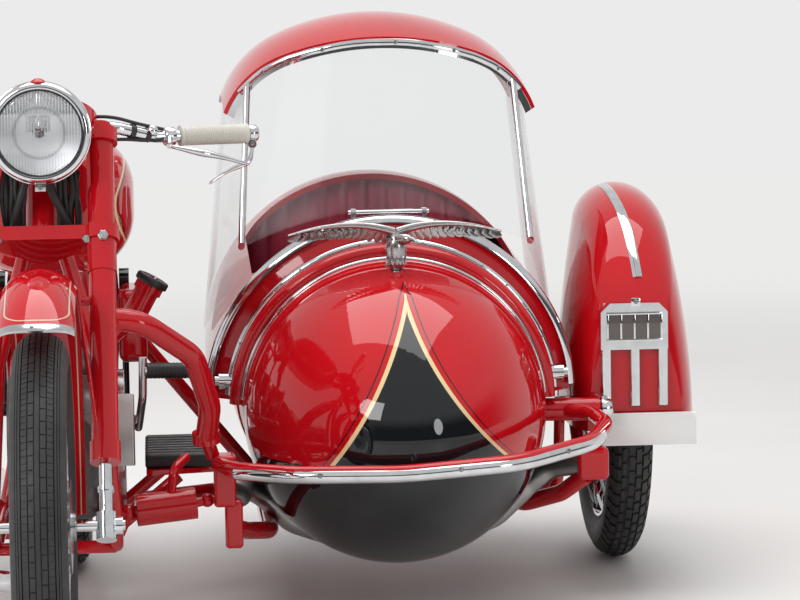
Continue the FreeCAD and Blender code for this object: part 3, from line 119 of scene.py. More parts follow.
class Wire:
    # one output of a node; a sum on it adds a Math node
    def __init__(self, tree, socket):
        self.tree = tree
        self.socket = socket

    def sum(self, operation, *values):
        return addNode(self.tree, "ShaderNodeMath", {"operation": operation}, dict(enumerate(values)))

    def __add__(self, other):
        return self.sum("ADD", self, other)

    def __radd__(self, other):
        return self.sum("ADD", other, self)

    def __sub__(self, other):
        return self.sum("SUBTRACT", self, other)

    def __rsub__(self, other):
        return self.sum("SUBTRACT", other, self)

    def __mul__(self, other):
        return self.sum("MULTIPLY", self, other)

    def __rmul__(self, other):
        return self.sum("MULTIPLY", other, self)

    def __truediv__(self, other):
        return self.sum("DIVIDE", self, other)

    def __pow__(self, other):
        return self.sum("POWER", self, other)

    def __lt__(self, other):
        return self.sum("LESS_THAN", self, other)

    def __gt__(self, other):
        return self.sum("GREATER_THAN", self, other)

    def size(self):
        return self.sum("ABSOLUTE", self)


def join(tree, value, socket):
    if isinstance(value, Wire):
        tree.links.new(value.socket, socket)
    else:
        socket.default_value = value


def addNode(tree, kind, settings, values, out=0):
    made = tree.nodes.new(kind)
    for name, value in settings.items():
        if name == "stops":
            ramp = made.color_ramp.elements
            ramp[0].position, ramp[-1].position = value[0][0], value[-1][0]
            for place, shade in value[1:-1]:
                ramp.new(place)
            for element, (place, shade) in zip(ramp, value):
                element.color = (shade, shade, shade, 1.0)
        else:
            setattr(made, name, value)
    for name, value in values.items():
        join(tree, value, made.inputs[name])
    return Wire(tree, made.outputs[out])


# ---- finishes


def newFinish(name, constants):
    material = bpy.data.materials.new(name)
    material.use_nodes = True
    tree = material.node_tree
    shader = tree.nodes["Principled BSDF"]
    for socket, value in constants.items():
        shader.inputs[socket].default_value = value
    return material, tree, shader


def objectPlace(tree):
    return addNode(tree, "ShaderNodeTexCoord", {}, {}, "Object")


def parts(tree, vector):
    split = addNode(tree, "ShaderNodeSeparateXYZ", {}, {0: vector})
    return [Wire(tree, split.socket.node.outputs[index]) for index in range(3)]


def noise(tree, place, scale, detail=3.0):
    return addNode(tree, "ShaderNodeTexNoise", {}, {"Vector": place, "Scale": scale, "Detail": detail})


def blendColour(tree, share, first, second):
    return addNode(tree, "ShaderNodeMix", {"data_type": "RGBA"}, {0: share, 6: first, 7: second}, 2)


def smooth(tree, value, low, high):
    return addNode(tree, "ShaderNodeMapRange", {"interpolation_type": "SMOOTHSTEP"},
                   {"Value": value, "From Min": low, "From Max": high})


def spread(tree, value, low, high):
    # a noise's middle half stretched between two values
    return addNode(tree, "ShaderNodeMapRange", {},
                   {"Value": value, "From Min": 0.3, "From Max": 0.7, "To Min": low, "To Max": high})


def relief(tree, shader, height, depth):
    bump = addNode(tree, "ShaderNodeBump", {}, {"Strength": 1.0, "Distance": depth, "Height": height})
    join(tree, bump, shader.inputs["Normal"])


enamel = {
    "colour": (0.56, 0.006, 0.012, 1.0),
    "shade": (0.46, 0.003, 0.008, 1.0),
    "roughness": 0.38,
    "roughSpread": 0.06,
    "roughPatch": 14.0,
    "coatRoughness": 0.035,
    "cloud": 3.0,
    "peel": 420.0,
    "peelDepth": 0.00002,
    "black": (0.006, 0.007, 0.009, 1.0),
    "smoke": (0.12, 0.105, 0.095, 1.0),
    "white": (0.78, 0.78, 0.77, 1.0),
    "gold": (0.78, 0.60, 0.32, 1.0),
    "cream": (0.70, 0.56, 0.40, 1.0),
}


def makeEnamel(name, size, colour="colour", shade="shade", pattern=None):
    material, tree, shader = newFinish(name, {"Coat Weight": 1.0, "Coat Roughness": size["coatRoughness"],
                                             "Specular IOR Level": 0.0})
    place = objectPlace(tree)
    cloud = spread(tree, noise(tree, place, size["cloud"]), 0.0, 1.0)
    paint = blendColour(tree, cloud, size[colour], size[shade])
    if pattern:
        paint = pattern(tree, place, paint)
    join(tree, paint, shader.inputs["Base Color"])
    rough, apart = size["roughness"], size["roughSpread"]
    worn = spread(tree, noise(tree, place, size["roughPatch"]), rough - apart, rough + apart)
    join(tree, worn, shader.inputs["Roughness"])
    relief(tree, shader, noise(tree, place, size["peel"], 1.0), size["peelDepth"])
    return material


metals = {
    # colour, roughness from and to, scale of its marks, depth of its grain, scale of its grain
    "chrome": ((0.74, 0.75, 0.77, 1.0), 0.03, 0.10, 30.0, 0.000004, 300.0),
    "darkChrome": ((0.46, 0.44, 0.44, 1.0), 0.14, 0.30, 60.0, 0.0002, 160.0),
    "polishedSteel": ((0.60, 0.60, 0.61, 1.0), 0.12, 0.26, 40.0, 0.00001, 700.0),
    "castAlloy": ((0.52, 0.52, 0.51, 1.0), 0.30, 0.48, 25.0, 0.00012, 320.0),
    "engineAlloy": ((0.17, 0.17, 0.17, 1.0), 0.36, 0.56, 25.0, 0.0002, 260.0),
    "reflector": ((0.93, 0.94, 0.95, 1.0), 0.42, 0.55, 20.0, 0.000004, 300.0),
    "screwSteel": ((0.30, 0.29, 0.28, 1.0), 0.20, 0.36, 60.0, 0.00001, 700.0),
}


def makeMetal(name):
    colour, low, high, marks, depth, grain = metals[name]
    material, tree, shader = newFinish(name, {"Metallic": 1.0})
    place = objectPlace(tree)
    worn = noise(tree, place, marks, 4.0)
    dull = tuple(0.82 * value for value in colour[:3]) + (1.0,)
    join(tree, blendColour(tree, spread(tree, worn, 0.0, 1.0), colour, dull), shader.inputs["Base Color"])
    join(tree, spread(tree, worn, low, high), shader.inputs["Roughness"])
    relief(tree, shader, noise(tree, place, grain, 2.0), depth)
    return material


soft = {
    # colour, second colour, roughness, scale of the grain, depth of the grain, coat
    "tyreRubber": ((0.018, 0.019, 0.020, 1.0), (0.040, 0.040, 0.040, 1.0), 0.62, 260.0, 0.00010, 0.0),
    "blackRubber": ((0.010, 0.010, 0.011, 1.0), (0.022, 0.022, 0.022, 1.0), 0.46, 320.0, 0.00006, 0.0),
    "creamRubber": ((0.62, 0.60, 0.55, 1.0), (0.54, 0.51, 0.46, 1.0), 0.52, 240.0, 0.00010, 0.0),
    "blackLeather": ((0.012, 0.011, 0.010, 1.0), (0.028, 0.025, 0.022, 1.0), 0.40, 520.0, 0.00025, 0.25),
    "tailGlass": ((0.42, 0.006, 0.008, 1.0), (0.34, 0.004, 0.006, 1.0), 0.20, 90.0, 0.00004, 1.0),
    "maroonLeather": ((0.46, 0.035, 0.080, 1.0), (0.36, 0.022, 0.055, 1.0), 0.42, 480.0, 0.00022, 0.35),
}


def makeSoft(name):
    colour, second, roughness, grain, depth, coat = soft[name]
    material, tree, shader = newFinish(name, {"Coat Weight": coat, "Coat Roughness": 0.25})
    place = objectPlace(tree)
    patches = spread(tree, noise(tree, place, 9.0), 0.0, 1.0)
    join(tree, blendColour(tree, patches, colour, second), shader.inputs["Base Color"])
    cells = addNode(tree, "ShaderNodeTexVoronoi", {"feature": "SMOOTH_F1"}, {"Vector": place, "Scale": grain})
    worn = spread(tree, noise(tree, place, grain / 4), roughness - 0.08, roughness + 0.10)
    join(tree, worn, shader.inputs["Roughness"])
    relief(tree, shader, cells, depth)
    return material


def mixShaders(tree, share, first, second):
    mixer = addNode(tree, "ShaderNodeMixShader", {}, {0: share}).socket.node
    tree.links.new(first, mixer.inputs[1])
    tree.links.new(second, mixer.inputs[2])
    tree.links.new(mixer.outputs[0], tree.nodes["Material Output"].inputs["Surface"])


def makePane(name, tint, haze, gloss):
    # clear sheet: mostly transparent, glossier at a glance, with a faint film of age
    material, tree, shader = newFinish(name, {"Base Color": (0.9, 0.92, 0.95, 1.0), "Roughness": 0.06})
    place = objectPlace(tree)
    clear = addNode(tree, "ShaderNodeBsdfTransparent", {}, {"Color": tint})
    glance = addNode(tree, "ShaderNodeLayerWeight", {}, {"Blend": 0.5}, "Facing")
    film = spread(tree, noise(tree, place, 5.0), haze * 0.6, haze * 1.4)
    mixShaders(tree, glance ** 4.0 * gloss + film, clear.socket, shader.outputs[0])
    return material


def makeGlass(name):
    # thick clear glass that bends what is behind it
    material, tree, shader = newFinish(name, {"Base Color": (0.96, 0.97, 0.98, 1.0), "Transmission Weight": 1.0,
                                             "IOR": 1.45})
    join(tree, spread(tree, noise(tree, objectPlace(tree), 40.0), 0.01, 0.05), shader.inputs["Roughness"])
    return material


# the painted panel on the nose: apex, the two edges' slope and swell, the lines beside them
panel = {
    "middle": 9.0,
    "apex": 640.0,
    "rightEdge": (0.335, 0.00062),
    "leftEdge": (0.200, 0.00145),
    "goldWidth": 6.5,
    "lineGap": 13.0,
    "lineWidth": 2.4,
    "lowBlack": 338.0,
    "goldRise": 8.0,
    "lineRise": 26.0,
}


def nosePattern(tree, place, paint):
    x, _, z = parts(tree, place)
    across = (x - middleOf("sidecar_nose").x) / mm - panel["middle"]
    drop = panel["apex"] - z / mm
    below = drop.sum("MAXIMUM", drop, 0.0)
    right, left = [below * slope + below * below * swell for slope, swell in (panel["rightEdge"], panel["leftEdge"])]
    onRight = across < 0.0
    edge = onRight * right + (1.0 - onRight) * left
    outside = across.size() - edge
    inPanel = (drop > 0.0) * (outside < 0.0)
    gold, above = panel["goldWidth"], drop.sum("MINIMUM", drop, 0.0)
    inGold = (drop > -panel["goldRise"]) * ((outside + gold * 0.35).size() < gold * 0.65)
    beside = (outside - panel["lineGap"] - above * 0.5).size()
    inLine = (drop > -panel["lineRise"]) * (beside < panel["lineWidth"] / 2)
    for mask, colour in ((inLine, "black"), (inPanel, "black"), (inGold, "gold")):
        paint = blendColour(tree, mask, paint, enamel[colour])
    return lowPattern(tree, place, paint)


def lowPattern(tree, place, paint):
    # the belly below a level line
    return blendColour(tree, (parts(tree, place)[2] / mm) < panel["lowBlack"], paint, enamel["black"])


finishes = {name: makeMetal(name) for name in metals}
finishes.update({name: makeSoft(name) for name in soft})
for name, pattern in (("redEnamel", None), ("noseEnamel", nosePattern), ("hullEnamel", lowPattern)):
    finishes[name] = makeEnamel(name, enamel, pattern=pattern)
for name, colour in (("blackEnamel", "black"), ("whitePaint", "white"), ("smokedGlass", "smoke")):
    finishes[name] = makeEnamel(name, enamel, colour, colour)
finishes["clearPane"] = makePane("clearPane", (0.98, 0.985, 0.985, 1.0), 0.04, 0.5)
finishes["lampGlass"] = makeGlass("lampGlass")
say("finishes made")

# ---- which finish each CAD node wears

covers = {
    "redEnamel": ["front_mudguard", "headlamp_shell", "fork_nacelle", "fork_legs", "fuel_tank", "main_frame",
                  "rear_mudguard", "swing_arm", "tool_boxes", "canister", "rear_lamp", "sidecar_cowl", "canopy_roof",
                  "sidecar_mudguard", "sidecar_chassis", "front_bumper", "gooseneck_strut", "lower_link",
                  "rear_struts", "sidecar_swing_arm", "footboard_brackets"],
    "noseEnamel": ["sidecar_nose"],
    "hullEnamel": ["sidecar_tub"],
    "blackEnamel": ["centre_stand", "rear_dampers"],
    "chrome": ["headlamp_rim", "handlebar", "hand_levers", "exhaust", "cowl_bands", "canopy_frame",
               "guard_lamp_trim", "canopy_hinge", "front_rim", "rear_rim", "sidecar_rim", "fork_sliders"],
    "darkChrome": ["bird_mascot"],
    "polishedSteel": ["kickstart_lever", "flywheel", "front_hub", "rear_hub", "sidecar_hub"],
    "castAlloy": ["cross_tube", "flywheel_guard"],
    "engineAlloy": ["engine_block", "engine_cylinder"],
    "tyreRubber": ["front_tyre", "rear_tyre", "sidecar_tyre"],
    "blackRubber": ["footboards"],
    "creamRubber": ["grips"],
    "blackLeather": ["rider_saddle", "pillion_seat"],
    "maroonLeather": ["sidecar_seat", "sidecar_backrest"],
    "clearPane": ["windscreen", "side_windows"],
    "lampGlass": ["headlamp_lens"],
}


def cover(node, finish):
    for slot in nodes[node].material_slots:
        slot.material = finishes[finish]


for finish, names in covers.items():
    for name in names:
        cover(name, finish)
say("frame covered")

# ---- makers shared by the pieces


def settle(piece, body):
    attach(piece, body)
    return piece


def newPiece(name, mesh, finish):
    mesh.materials.clear()
    mesh.materials.append(finishes[finish])
    return linked(name, mesh)


def shaded(mesh, crease):
    # smooth, with edges kept sharp past an angle in degrees
    mesh.shade_smooth()
    mesh.set_sharp_from_angle(angle=math.radians(crease))
    return mesh


def meshOf(name, corners, faces, crease=40.0):
    mesh = bpy.data.meshes.new(name)
    mesh.from_pydata([tuple(corner) for corner in corners], [], faces)
    mesh.validate()
    form = bmesh.new()
    form.from_mesh(mesh)
    bmesh.ops.remove_doubles(form, verts=form.verts, dist=0.00001)
    bmesh.ops.recalc_face_normals(form, faces=form.faces)
    form.to_mesh(mesh)
    form.free()
    return shaded(mesh, crease)


def strip(here, there, count, rows=None):
    # faces between two rings of corners
    return [(here + row, here + (row + 1) % count, there + (row + 1) % count, there + row)
            for row in range(count if rows is None else rows)]


def oval(wide, tall, sides):
    # a round section, as (across, up)
    turns = [2 * math.pi * side / sides for side in range(sides)]
    return [(wide * math.cos(turn), tall * math.sin(turn)) for turn in turns]


def eased(points, closed=False):
    # each point drawn to the mean of itself and two neighbours on either side
    last = len(points) - 1
    return [sum((points[(index + shift) % (last + 1) if closed else max(0, min(last, index + shift))]
                 for shift in (-2, -1, 0, 1, 2)), Vector()) / 5 for index in range(last + 1)]


def finished(piece):
    # the piece as its modifiers leave it, as a plain mesh
    seen = piece.evaluated_get(bpy.context.evaluated_depsgraph_get())
    mesh = bpy.data.meshes.new_from_object(seen)
    piece.modifiers.clear()
    return mesh


def add(name, mesh, finish, body):
    return settle(newPiece(name, mesh, finish), body)


def crossways(axis):
    side = axis.orthogonal().normalized()
    return side, axis.cross(side).normalized()


def turnedMesh(name, outline, centre, axis, steps=48, crease=40.0):
    # outline: (along the axis, out from it) in millimetres, closed unless it starts and ends on the axis
    axis = Vector(axis).normalized()
    side, up = crossways(axis)
    corners, faces = [], []
    for index in range(steps):
        turn = 2 * math.pi * index / steps
        out = side * math.cos(turn) + up * math.sin(turn)
        corners += [centre + axis * along * mm + out * radius * mm for along, radius in outline]
    count = len(outline)
    onAxis = outline[0][1] == 0 and outline[-1][1] == 0
    for index in range(steps):
        faces += strip(index * count, (index + 1) % steps * count, count, count - 1 if onAxis else count)
    return meshOf(name, corners, faces, crease)


def sweptMesh(name, path, ups, section, closed=False, crease=40.0):
    # section: (across, up) in millimetres, carried along the path
    corners, faces = [], []
    count, last = len(section), len(path) - 1
    for index, point in enumerate(path):
        before = path[index - 1] if index or closed else path[0]
        after = path[(index + 1) % len(path)] if index < last or closed else path[-1]
        ahead = (after - before).normalized()
        across = ahead.cross(ups[index]).normalized()
        up = across.cross(ahead).normalized()
        corners += [point + across * x * mm + up * z * mm for x, z in section]
    for index in range(len(path) if closed else last):
        faces += strip(index * count, (index + 1) % len(path) * count, count)
    if not closed:
        faces += [tuple(range(count)), tuple(last * count + row for row in range(count))]
    return meshOf(name, corners, faces, crease)


def curvePoints(route, steps):
    # a smooth line through a short route, as evenly numbered points
    curve = bpy.data.curves.new("route", "CURVE")
    curve.dimensions = "3D"
    curve.resolution_u = steps
    spline = curve.splines.new("NURBS")
    spline.points.add(len(route) - 1)
    for point, place in zip(spline.points, route):
        point.co = (*place, 1.0)
    spline.order_u = 3
    spline.use_endpoint_u = True
    holder = linked("route", curve)
    seen = holder.evaluated_get(bpy.context.evaluated_depsgraph_get())
    mesh = bpy.data.meshes.new_from_object(seen)
    points = [vertex.co.copy() for vertex in mesh.vertices]
    bpy.data.objects.remove(holder)
    return points


def tubeMesh(name, route, radius, steps=8, sides=10):
    points = curvePoints(route, steps) if len(route) > 2 else list(route)
    return sweptMesh(name, points, steadyUps(points), oval(radius, radius, sides))


def steadyUps(points):
    ups = [(points[1] - points[0]).orthogonal().normalized()]
    for before, after in zip(points, points[1:]):
        ahead = (after - before).normalized()
        ups.append((ups[-1] - ahead * ups[-1].dot(ahead)).normalized())
    return ups


def joined(name, meshes):
    form = bmesh.new()
    for mesh in meshes:
        form.from_mesh(mesh)
    whole = bpy.data.meshes.new(name)
    form.to_mesh(whole)
    form.free()
    return whole


skins = {}


def skin(node):
    if node not in skins:
        mesh = nodes[node].data
        skins[node] = BVHTree.FromPolygons([vertex.co for vertex in mesh.vertices],
                                           [tuple(face.vertices) for face in mesh.polygons])
    return skins[node]


def meet(node, start, way):
    # where a line from start first meets a CAD node, and the way that surface faces
    point, facing = skin(node).ray_cast(start, Vector(way).normalized())[:2]
    if point is None:
        raise ValueError(node + " is not met")
    return point, facing


# ---- screws, nuts and rivets


def headMesh(name, rings, sides):
    # rings: (height, radius)
    corners, faces = [], []
    for height, radius in rings:
        corners += [Vector((x, y, height)) for x, y in oval(radius, radius, sides)]
    for ring in range(len(rings) - 1):
        faces += strip(ring * sides, (ring + 1) * sides, sides)
    faces.append(tuple((len(rings) - 1) * sides + side for side in range(sides)))
    return meshOf(name, corners, faces, 30.0)


heads = {
    # rings of (height, radius) in parts of the head's own radius, and its sides
    "hexNut": ([(0.0, 1.18), (0.12, 1.18), (0.14, 0.98), (0.70, 1.0), (0.80, 0.86), (0.80, 0.52), (1.0, 0.50),
                (1.08, 0.40)], 6),
    "domeScrew": ([(0.0, 1.0), (0.22, 0.98), (0.40, 0.82), (0.48, 0.55), (0.50, 0.3)], 16),
    "rivet": ([(0.0, 1.0), (0.30, 0.92), (0.55, 0.66), (0.66, 0.30)], 8),
}


def treeInputs(tree, kinds, result):
    # named inputs and one geometry output
    for name, kind in kinds:
        tree.interface.new_socket(name=name, in_out="INPUT", socket_type="NodeSocket" + kind)
    tree.interface.new_socket(name=result, in_out="OUTPUT", socket_type="NodeSocketGeometry")
    given = tree.nodes.new("NodeGroupInput").outputs
    return [Wire(tree, given[index]) for index in range(len(kinds))]


def fastenerTree():
    tree = bpy.data.node_groups.new("fasteners", "GeometryNodeTree")
    places, head, size, finish = treeInputs(tree, [("Places", "Geometry"), ("Head", "Object"), ("Size", "Float"),
                                                   ("Finish", "Material")], "Heads")
    facing = addNode(tree, "GeometryNodeInputNamedAttribute", {"data_type": "FLOAT_VECTOR"}, {"Name": "facing"})
    turn = addNode(tree, "GeometryNodeInputNamedAttribute", {"data_type": "FLOAT"}, {"Name": "turn"})
    upright = addNode(tree, "FunctionNodeAlignRotationToVector", {"axis": "Z"}, {"Vector": facing})
    about = addNode(tree, "FunctionNodeAxisAngleToRotation", {}, {"Axis": (0.0, 0.0, 1.0), "Angle": turn})
    rotation = addNode(tree, "FunctionNodeRotateRotation", {"rotation_space": "LOCAL"},
                       {"Rotation": upright, "Rotate By": about})
    shape = addNode(tree, "GeometryNodeObjectInfo", {}, {"Object": head}, "Geometry")
    grown = addNode(tree, "ShaderNodeCombineXYZ", {}, {0: size, 1: size, 2: size})
    placed = addNode(tree, "GeometryNodeInstanceOnPoints", {},
                     {"Points": places, "Instance": shape, "Rotation": rotation, "Scale": grown})
    real = addNode(tree, "GeometryNodeRealizeInstances", {}, {0: placed})
    done = addNode(tree, "GeometryNodeSetMaterial", {}, {"Geometry": real, "Material": finish})
    tree.links.new(done.socket, tree.nodes.new("NodeGroupOutput").inputs[0])
    return tree


def setInputs(modifier, values):
    # a modifier's inputs are set by their sockets' identifiers
    for socket in modifier.node_group.interface.items_tree:
        if socket.in_out == "INPUT" and socket.name in values:
            modifier[socket.identifier] = values[socket.name]


fasteners = fastenerTree()


def fasten(name, kind, radius, places, body, finish="screwSteel"):
    # places: (point, the way it faces)
    head = linked(kind, headMesh(kind, *heads[kind]))
    mesh = bpy.data.meshes.new(name)
    mesh.from_pydata([point for point, _ in places], [], [])
    mesh.attributes.new("facing", "FLOAT_VECTOR", "POINT")
    mesh.attributes.new("turn", "FLOAT", "POINT")
    for index, (point, way) in enumerate(places):
        mesh.attributes["facing"].data[index].vector = Vector(way).normalized()
        mesh.attributes["turn"].data[index].value = 0.7 * index
    piece = linked(name, mesh)
    modifier = piece.modifiers.new("fasteners", "NODES")
    modifier.node_group = fasteners
    setInputs(modifier, {"Head": head, "Size": radius * mm, "Finish": finishes[finish]})
    made = finished(piece)
    for shape in (head, piece):
        bpy.data.objects.remove(shape)
    return add(name, made, finish, body)


def ringTree():
    # one segment repeated round an axis across the vehicle
    tree = bpy.data.node_groups.new("round", "GeometryNodeTree")
    segment, count, centre, finish = treeInputs(tree, [("Base", "Geometry"), ("Segment", "Object"), ("Count", "Int"),
                                                       ("Centre", "Vector"), ("Finish", "Material")], "Ring")[1:]
    points = addNode(tree, "GeometryNodePoints", {}, {"Count": count, "Position": centre})
    index = addNode(tree, "GeometryNodeInputIndex", {}, {})
    turn = addNode(tree, "ShaderNodeCombineXYZ", {}, {0: index * (2 * math.pi) / count})
    rotation = addNode(tree, "FunctionNodeEulerToRotation", {}, {0: turn})
    shape = addNode(tree, "GeometryNodeObjectInfo", {}, {"Object": segment}, "Geometry")
    placed = addNode(tree, "GeometryNodeInstanceOnPoints", {},
                     {"Points": points, "Instance": shape, "Rotation": rotation})
    real = addNode(tree, "GeometryNodeRealizeInstances", {}, {0: placed})
    sealed = addNode(tree, "GeometryNodeMergeByDistance", {}, {0: real, "Distance": 0.00005})
    done = addNode(tree, "GeometryNodeSetMaterial", {}, {"Geometry": sealed, "Material": finish})
    tree.links.new(done.socket, tree.nodes.new("NodeGroupOutput").inputs[0])
    return tree


around = ringTree()


def repeatRound(name, segment, count, centre, finish):
    template = linked(name + "Segment", segment)
    piece = linked(name, bpy.data.meshes.new(name))
    modifier = piece.modifiers.new("round", "NODES")
    modifier.node_group = around
    setInputs(modifier, {"Segment": template, "Count": count, "Centre": centre, "Finish": finishes[finish]})
    mesh = finished(piece)
    bpy.data.objects.remove(piece)
    bpy.data.objects.remove(template)
    return newPiece(name, mesh, finish)


# ---- tyres

tyre = {
    "ring": 283.0,
    "thick": 47.0,
    "bead": 146.0,
    "grooves": ((3.6, 5.6), (14.2, 16.4), (25.6, 27.8), (31.4, 32.6), (35.4, 36.4)),
    "grooveDepth": 2.6,
    "block": 15.0,  # pitch of the five rows of blocks, the first from blockFrom
    "blockFrom": 37.5,
    "blockWide": 11.2,
    "lug": 44.5,
}


def ribbedHeight(x, share):
    # centre rib, two rows of bars, two sawn ribs and fine shoulder ribs
    out = abs(x)
    if any(low < out < high for low, high in tyre["grooves"]):
        return -tyre["grooveDepth"]
    half = (share + (0.5 if x > 0 else 0.0)) % 1.0
    if 5.6 <= out <= 14.2 and half < 0.09:
        return -2.2
    if 16.4 <= out <= 25.6 and (share * 2) % 1.0 < 0.10:
        return -0.9
    return 0.0


def blockHeight(x, share):
    # staggered blocks in five rows, and lugs down the shoulders
    out = abs(x)
    if out < tyre["blockFrom"]:
        row, offset = divmod(x + tyre["blockFrom"], tyre["block"])
        gap = (share + 0.5 * (row % 2)) % 1.0
        return -5.0 if offset > tyre["blockWide"] or gap < 0.24 else 0.0
    if out < tyre["lug"]:
        return -4.0 if (share + 0.25) % 1.0 < 0.35 else -0.5
    return 0.0


def tyreSegment(name, heightAt, edges, rows, periods):
    thick, ring = tyre["thick"], tyre["ring"]
    angles = sorted({side * math.asin(min(edge / thick, 1.0)) for edge in edges for side in (-1, 1)})
    wall = [math.radians(angle) for angle in (100, 115, 130, tyre["bead"])]
    angles = [-angle for angle in reversed(wall)] + angles + wall
    corners, faces = [], []
    for share in rows:
        turn = 2 * math.pi * share / periods
        for angle in angles:
            x = thick * math.sin(angle)
            sunk = heightAt(x, min(share, 0.999)) if abs(angle) < 1.5 else 0.0
            radius = ring + (thick + sunk) * math.cos(angle)
            across = (thick + sunk) * math.sin(angle)
            corners.append(Vector((across, -math.sin(turn) * radius, math.cos(turn) * radius)) * mm)
        seat = ring + thick * math.cos(angles[0])
        corners.append(Vector((0.0, -math.sin(turn) * (seat + 3), math.cos(turn) * (seat + 3))) * mm)
    count = len(angles) + 1
    for row in range(len(rows) - 1):
        faces += strip(row * count, (row + 1) * count, count)
    mesh = bpy.data.meshes.new(name)
    mesh.from_pydata(corners, [], faces)
    return shaded(mesh, 32)


def makeTyre(node, body, heightAt, edges, rows, periods):
    segment = tyreSegment(node, heightAt, edges, rows, periods)
    piece = repeatRound(node + "_tread", segment, periods, tuple(middleOf(node)), "tyreRubber")
    form = bmesh.new()
    form.from_mesh(piece.data)
    bmesh.ops.recalc_face_normals(form, faces=form.faces)
    form.to_mesh(piece.data)
    form.free()
    settle(piece, body)
    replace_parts(piece, node)


def cutLines(walls, others, apart):
    # a groove's wall stands between two close lines
    return sorted(others + [wall + side * apart for wall in walls for side in (-1, 1)])


treads = {
    # height rule; across, in millimetres: walls, other lines; along one repeat: walls, other lines; repeats
    "ribbed": (ribbedHeight, [wall for groove in tyre["grooves"] for wall in groove],
               [1.5, 10.0, 21.0, 40.0, 44.0, 46.5], [0.09, 0.5, 0.59], [0.0, 0.045, 0.0451, 0.25, 0.5449, 0.75, 1.0], 84),
    "block": (blockHeight, [3.7, 7.5, 18.7, 22.5, 33.7, 37.5, 44.5], [11.0, 28.0, 41.0, 46.5],
              [0.1, 0.24, 0.5, 0.74], [0.0, 0.7501, 1.0], 64),
}
for wheel, tread in (("front", "ribbed"), ("rear", "block"), ("sidecar", "block")):
    heightAt, walls, others, ends, between, repeats = treads[tread]
    makeTyre(wheel + "_tyre", wheel + "_wheel", heightAt, cutLines(walls, others, 0.01),
             cutLines(ends, between, 0.0001), repeats)
say("tyres cut")


def slabMesh(name, outer, inner, crease=40.0):
    # a closed sheet between two grids of points
    rows, columns = len(outer), len(outer[0])
    corners = [point for grid in (outer, inner) for row in grid for point in row]
    faces = []
    for layer in (0, rows * columns):
        for row in range(rows - 1):
            for column in range(columns - 1):
                start = layer + row * columns + column
                face = (start, start + 1, start + columns + 1, start + columns)
                faces.append(face if layer else face[::-1])
    rim = list(range(columns)) + [row * columns + columns - 1 for row in range(1, rows)]
    rim += [(rows - 1) * columns + column for column in range(columns - 2, -1, -1)]
    rim += [row * columns for row in range(rows - 2, 0, -1)]
    for index, here in enumerate(rim):
        after = rim[(index + 1) % len(rim)]
        faces.append((here, after, after + rows * columns, here + rows * columns))
    return meshOf(name, corners, faces, crease)


# ---- headlamp

lampRim = boxOf("headlamp_rim")
lamp = {
    "centre": Vector(((lampRim[0].x + lampRim[1].x) / 2, lampRim[0].y, (lampRim[0].z + lampRim[1].z) / 2)),
    "glassRadius": 73.4,
    "dome": 8.5,
    "glassThickness": 2.4,
    "flutePitch": 5.2,
    "fluteDepth": 1.1,
    "rows": 36,
    "columns": 132,
    "dishDepth": 17.0,
    "dishRise": 13.6,
    "dishRadius": 73.0,
    "bezel": [(-21, 85), (-21, 89.5), (-14, 91), (-9, 90), (-8.4, 88.6), (-3, 87), (0.6, 83.5), (1.6, 80), (0.8, 76.6),
              (-1.6, 75.1), (-9, 74.8), (-12, 80)],  # along the lamp, out from its middle
}


def makeLampGlass(size):
    centre, radius, dome = size["centre"], size["glassRadius"], size["dome"]
    sphere = (radius * radius + dome * dome) / (2 * dome)
    outer, inner = [], []
    for row in range(size["rows"] + 1):
        z = radius * math.sin(math.pi * (row / size["rows"] - 0.5)) * 0.9995
        wide = math.sqrt(radius * radius - z * z)
        fronts, backs = [], []
        for column in range(size["columns"] + 1):
            x = wide * (2 * column / size["columns"] - 1)
            rise = dome - (sphere - math.sqrt(sphere * sphere - x * x - z * z))
            strong = 1.0 if z > 34 or abs(x) < 22 and z > 4 else 0.5 if z < -34 else 0.15
            flute = size["fluteDepth"] * strong * math.sin(2 * math.pi * x / size["flutePitch"])
            fade = min(1.0, (radius - math.hypot(x, z)) / 4)
            fronts.append(centre + off(x, -rise, z))
            backs.append(centre + off(x, size["glassThickness"] - rise + flute * fade, z))
        outer.append(fronts)
        inner.append(backs)
    piece = add("headlamp_glass", slabMesh("glass", outer, inner, 60.0), "lampGlass", "steering")
    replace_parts(piece, "headlamp_lens")


def makeReflector(size):
    centre, ahead = size["centre"], (0.0, -1.0, 0.0)
    deep, bowl, wide = size["dishDepth"], size["dishRise"], size["dishRadius"]
    dish = [(-deep - 0.2, 0), (-deep, 12)]
    dish += [(-deep + bowl * (radius / wide) ** 2, radius) for radius in (22, 34, 46, 58, 68, 73)]
    dish += [(-4.6, wide), (-16.0, 60), (-17.8, 20), (-17.8, 0)]
    dishMesh = turnedMesh("dish", dish, centre, ahead, 64)
    # the dish wears painted shade of the glass's flutes
    add("headlamp_reflector", joined("reflector", [dishMesh]), "paintedShadeReflector", "steering")
    bulb = [(-deep, 0), (-deep, 9), (-13.0, 9), (-12.6, 6), (-10, 7.4), (-6, 7.2), (-3.4, 4.6), (-2.6, 0)]
    add("headlamp_bulb", turnedMesh("bulb", bulb, centre, ahead, 24), "screwSteel", "steering")
    seal = [(-1.2, 73.0), (0.9, 73.3), (1.3, 74.2), (0.6, 74.9), (-1.2, 74.9)]
    add("headlamp_seal", turnedMesh("seal", seal, centre, ahead, 72), "blackRubber", "steering")


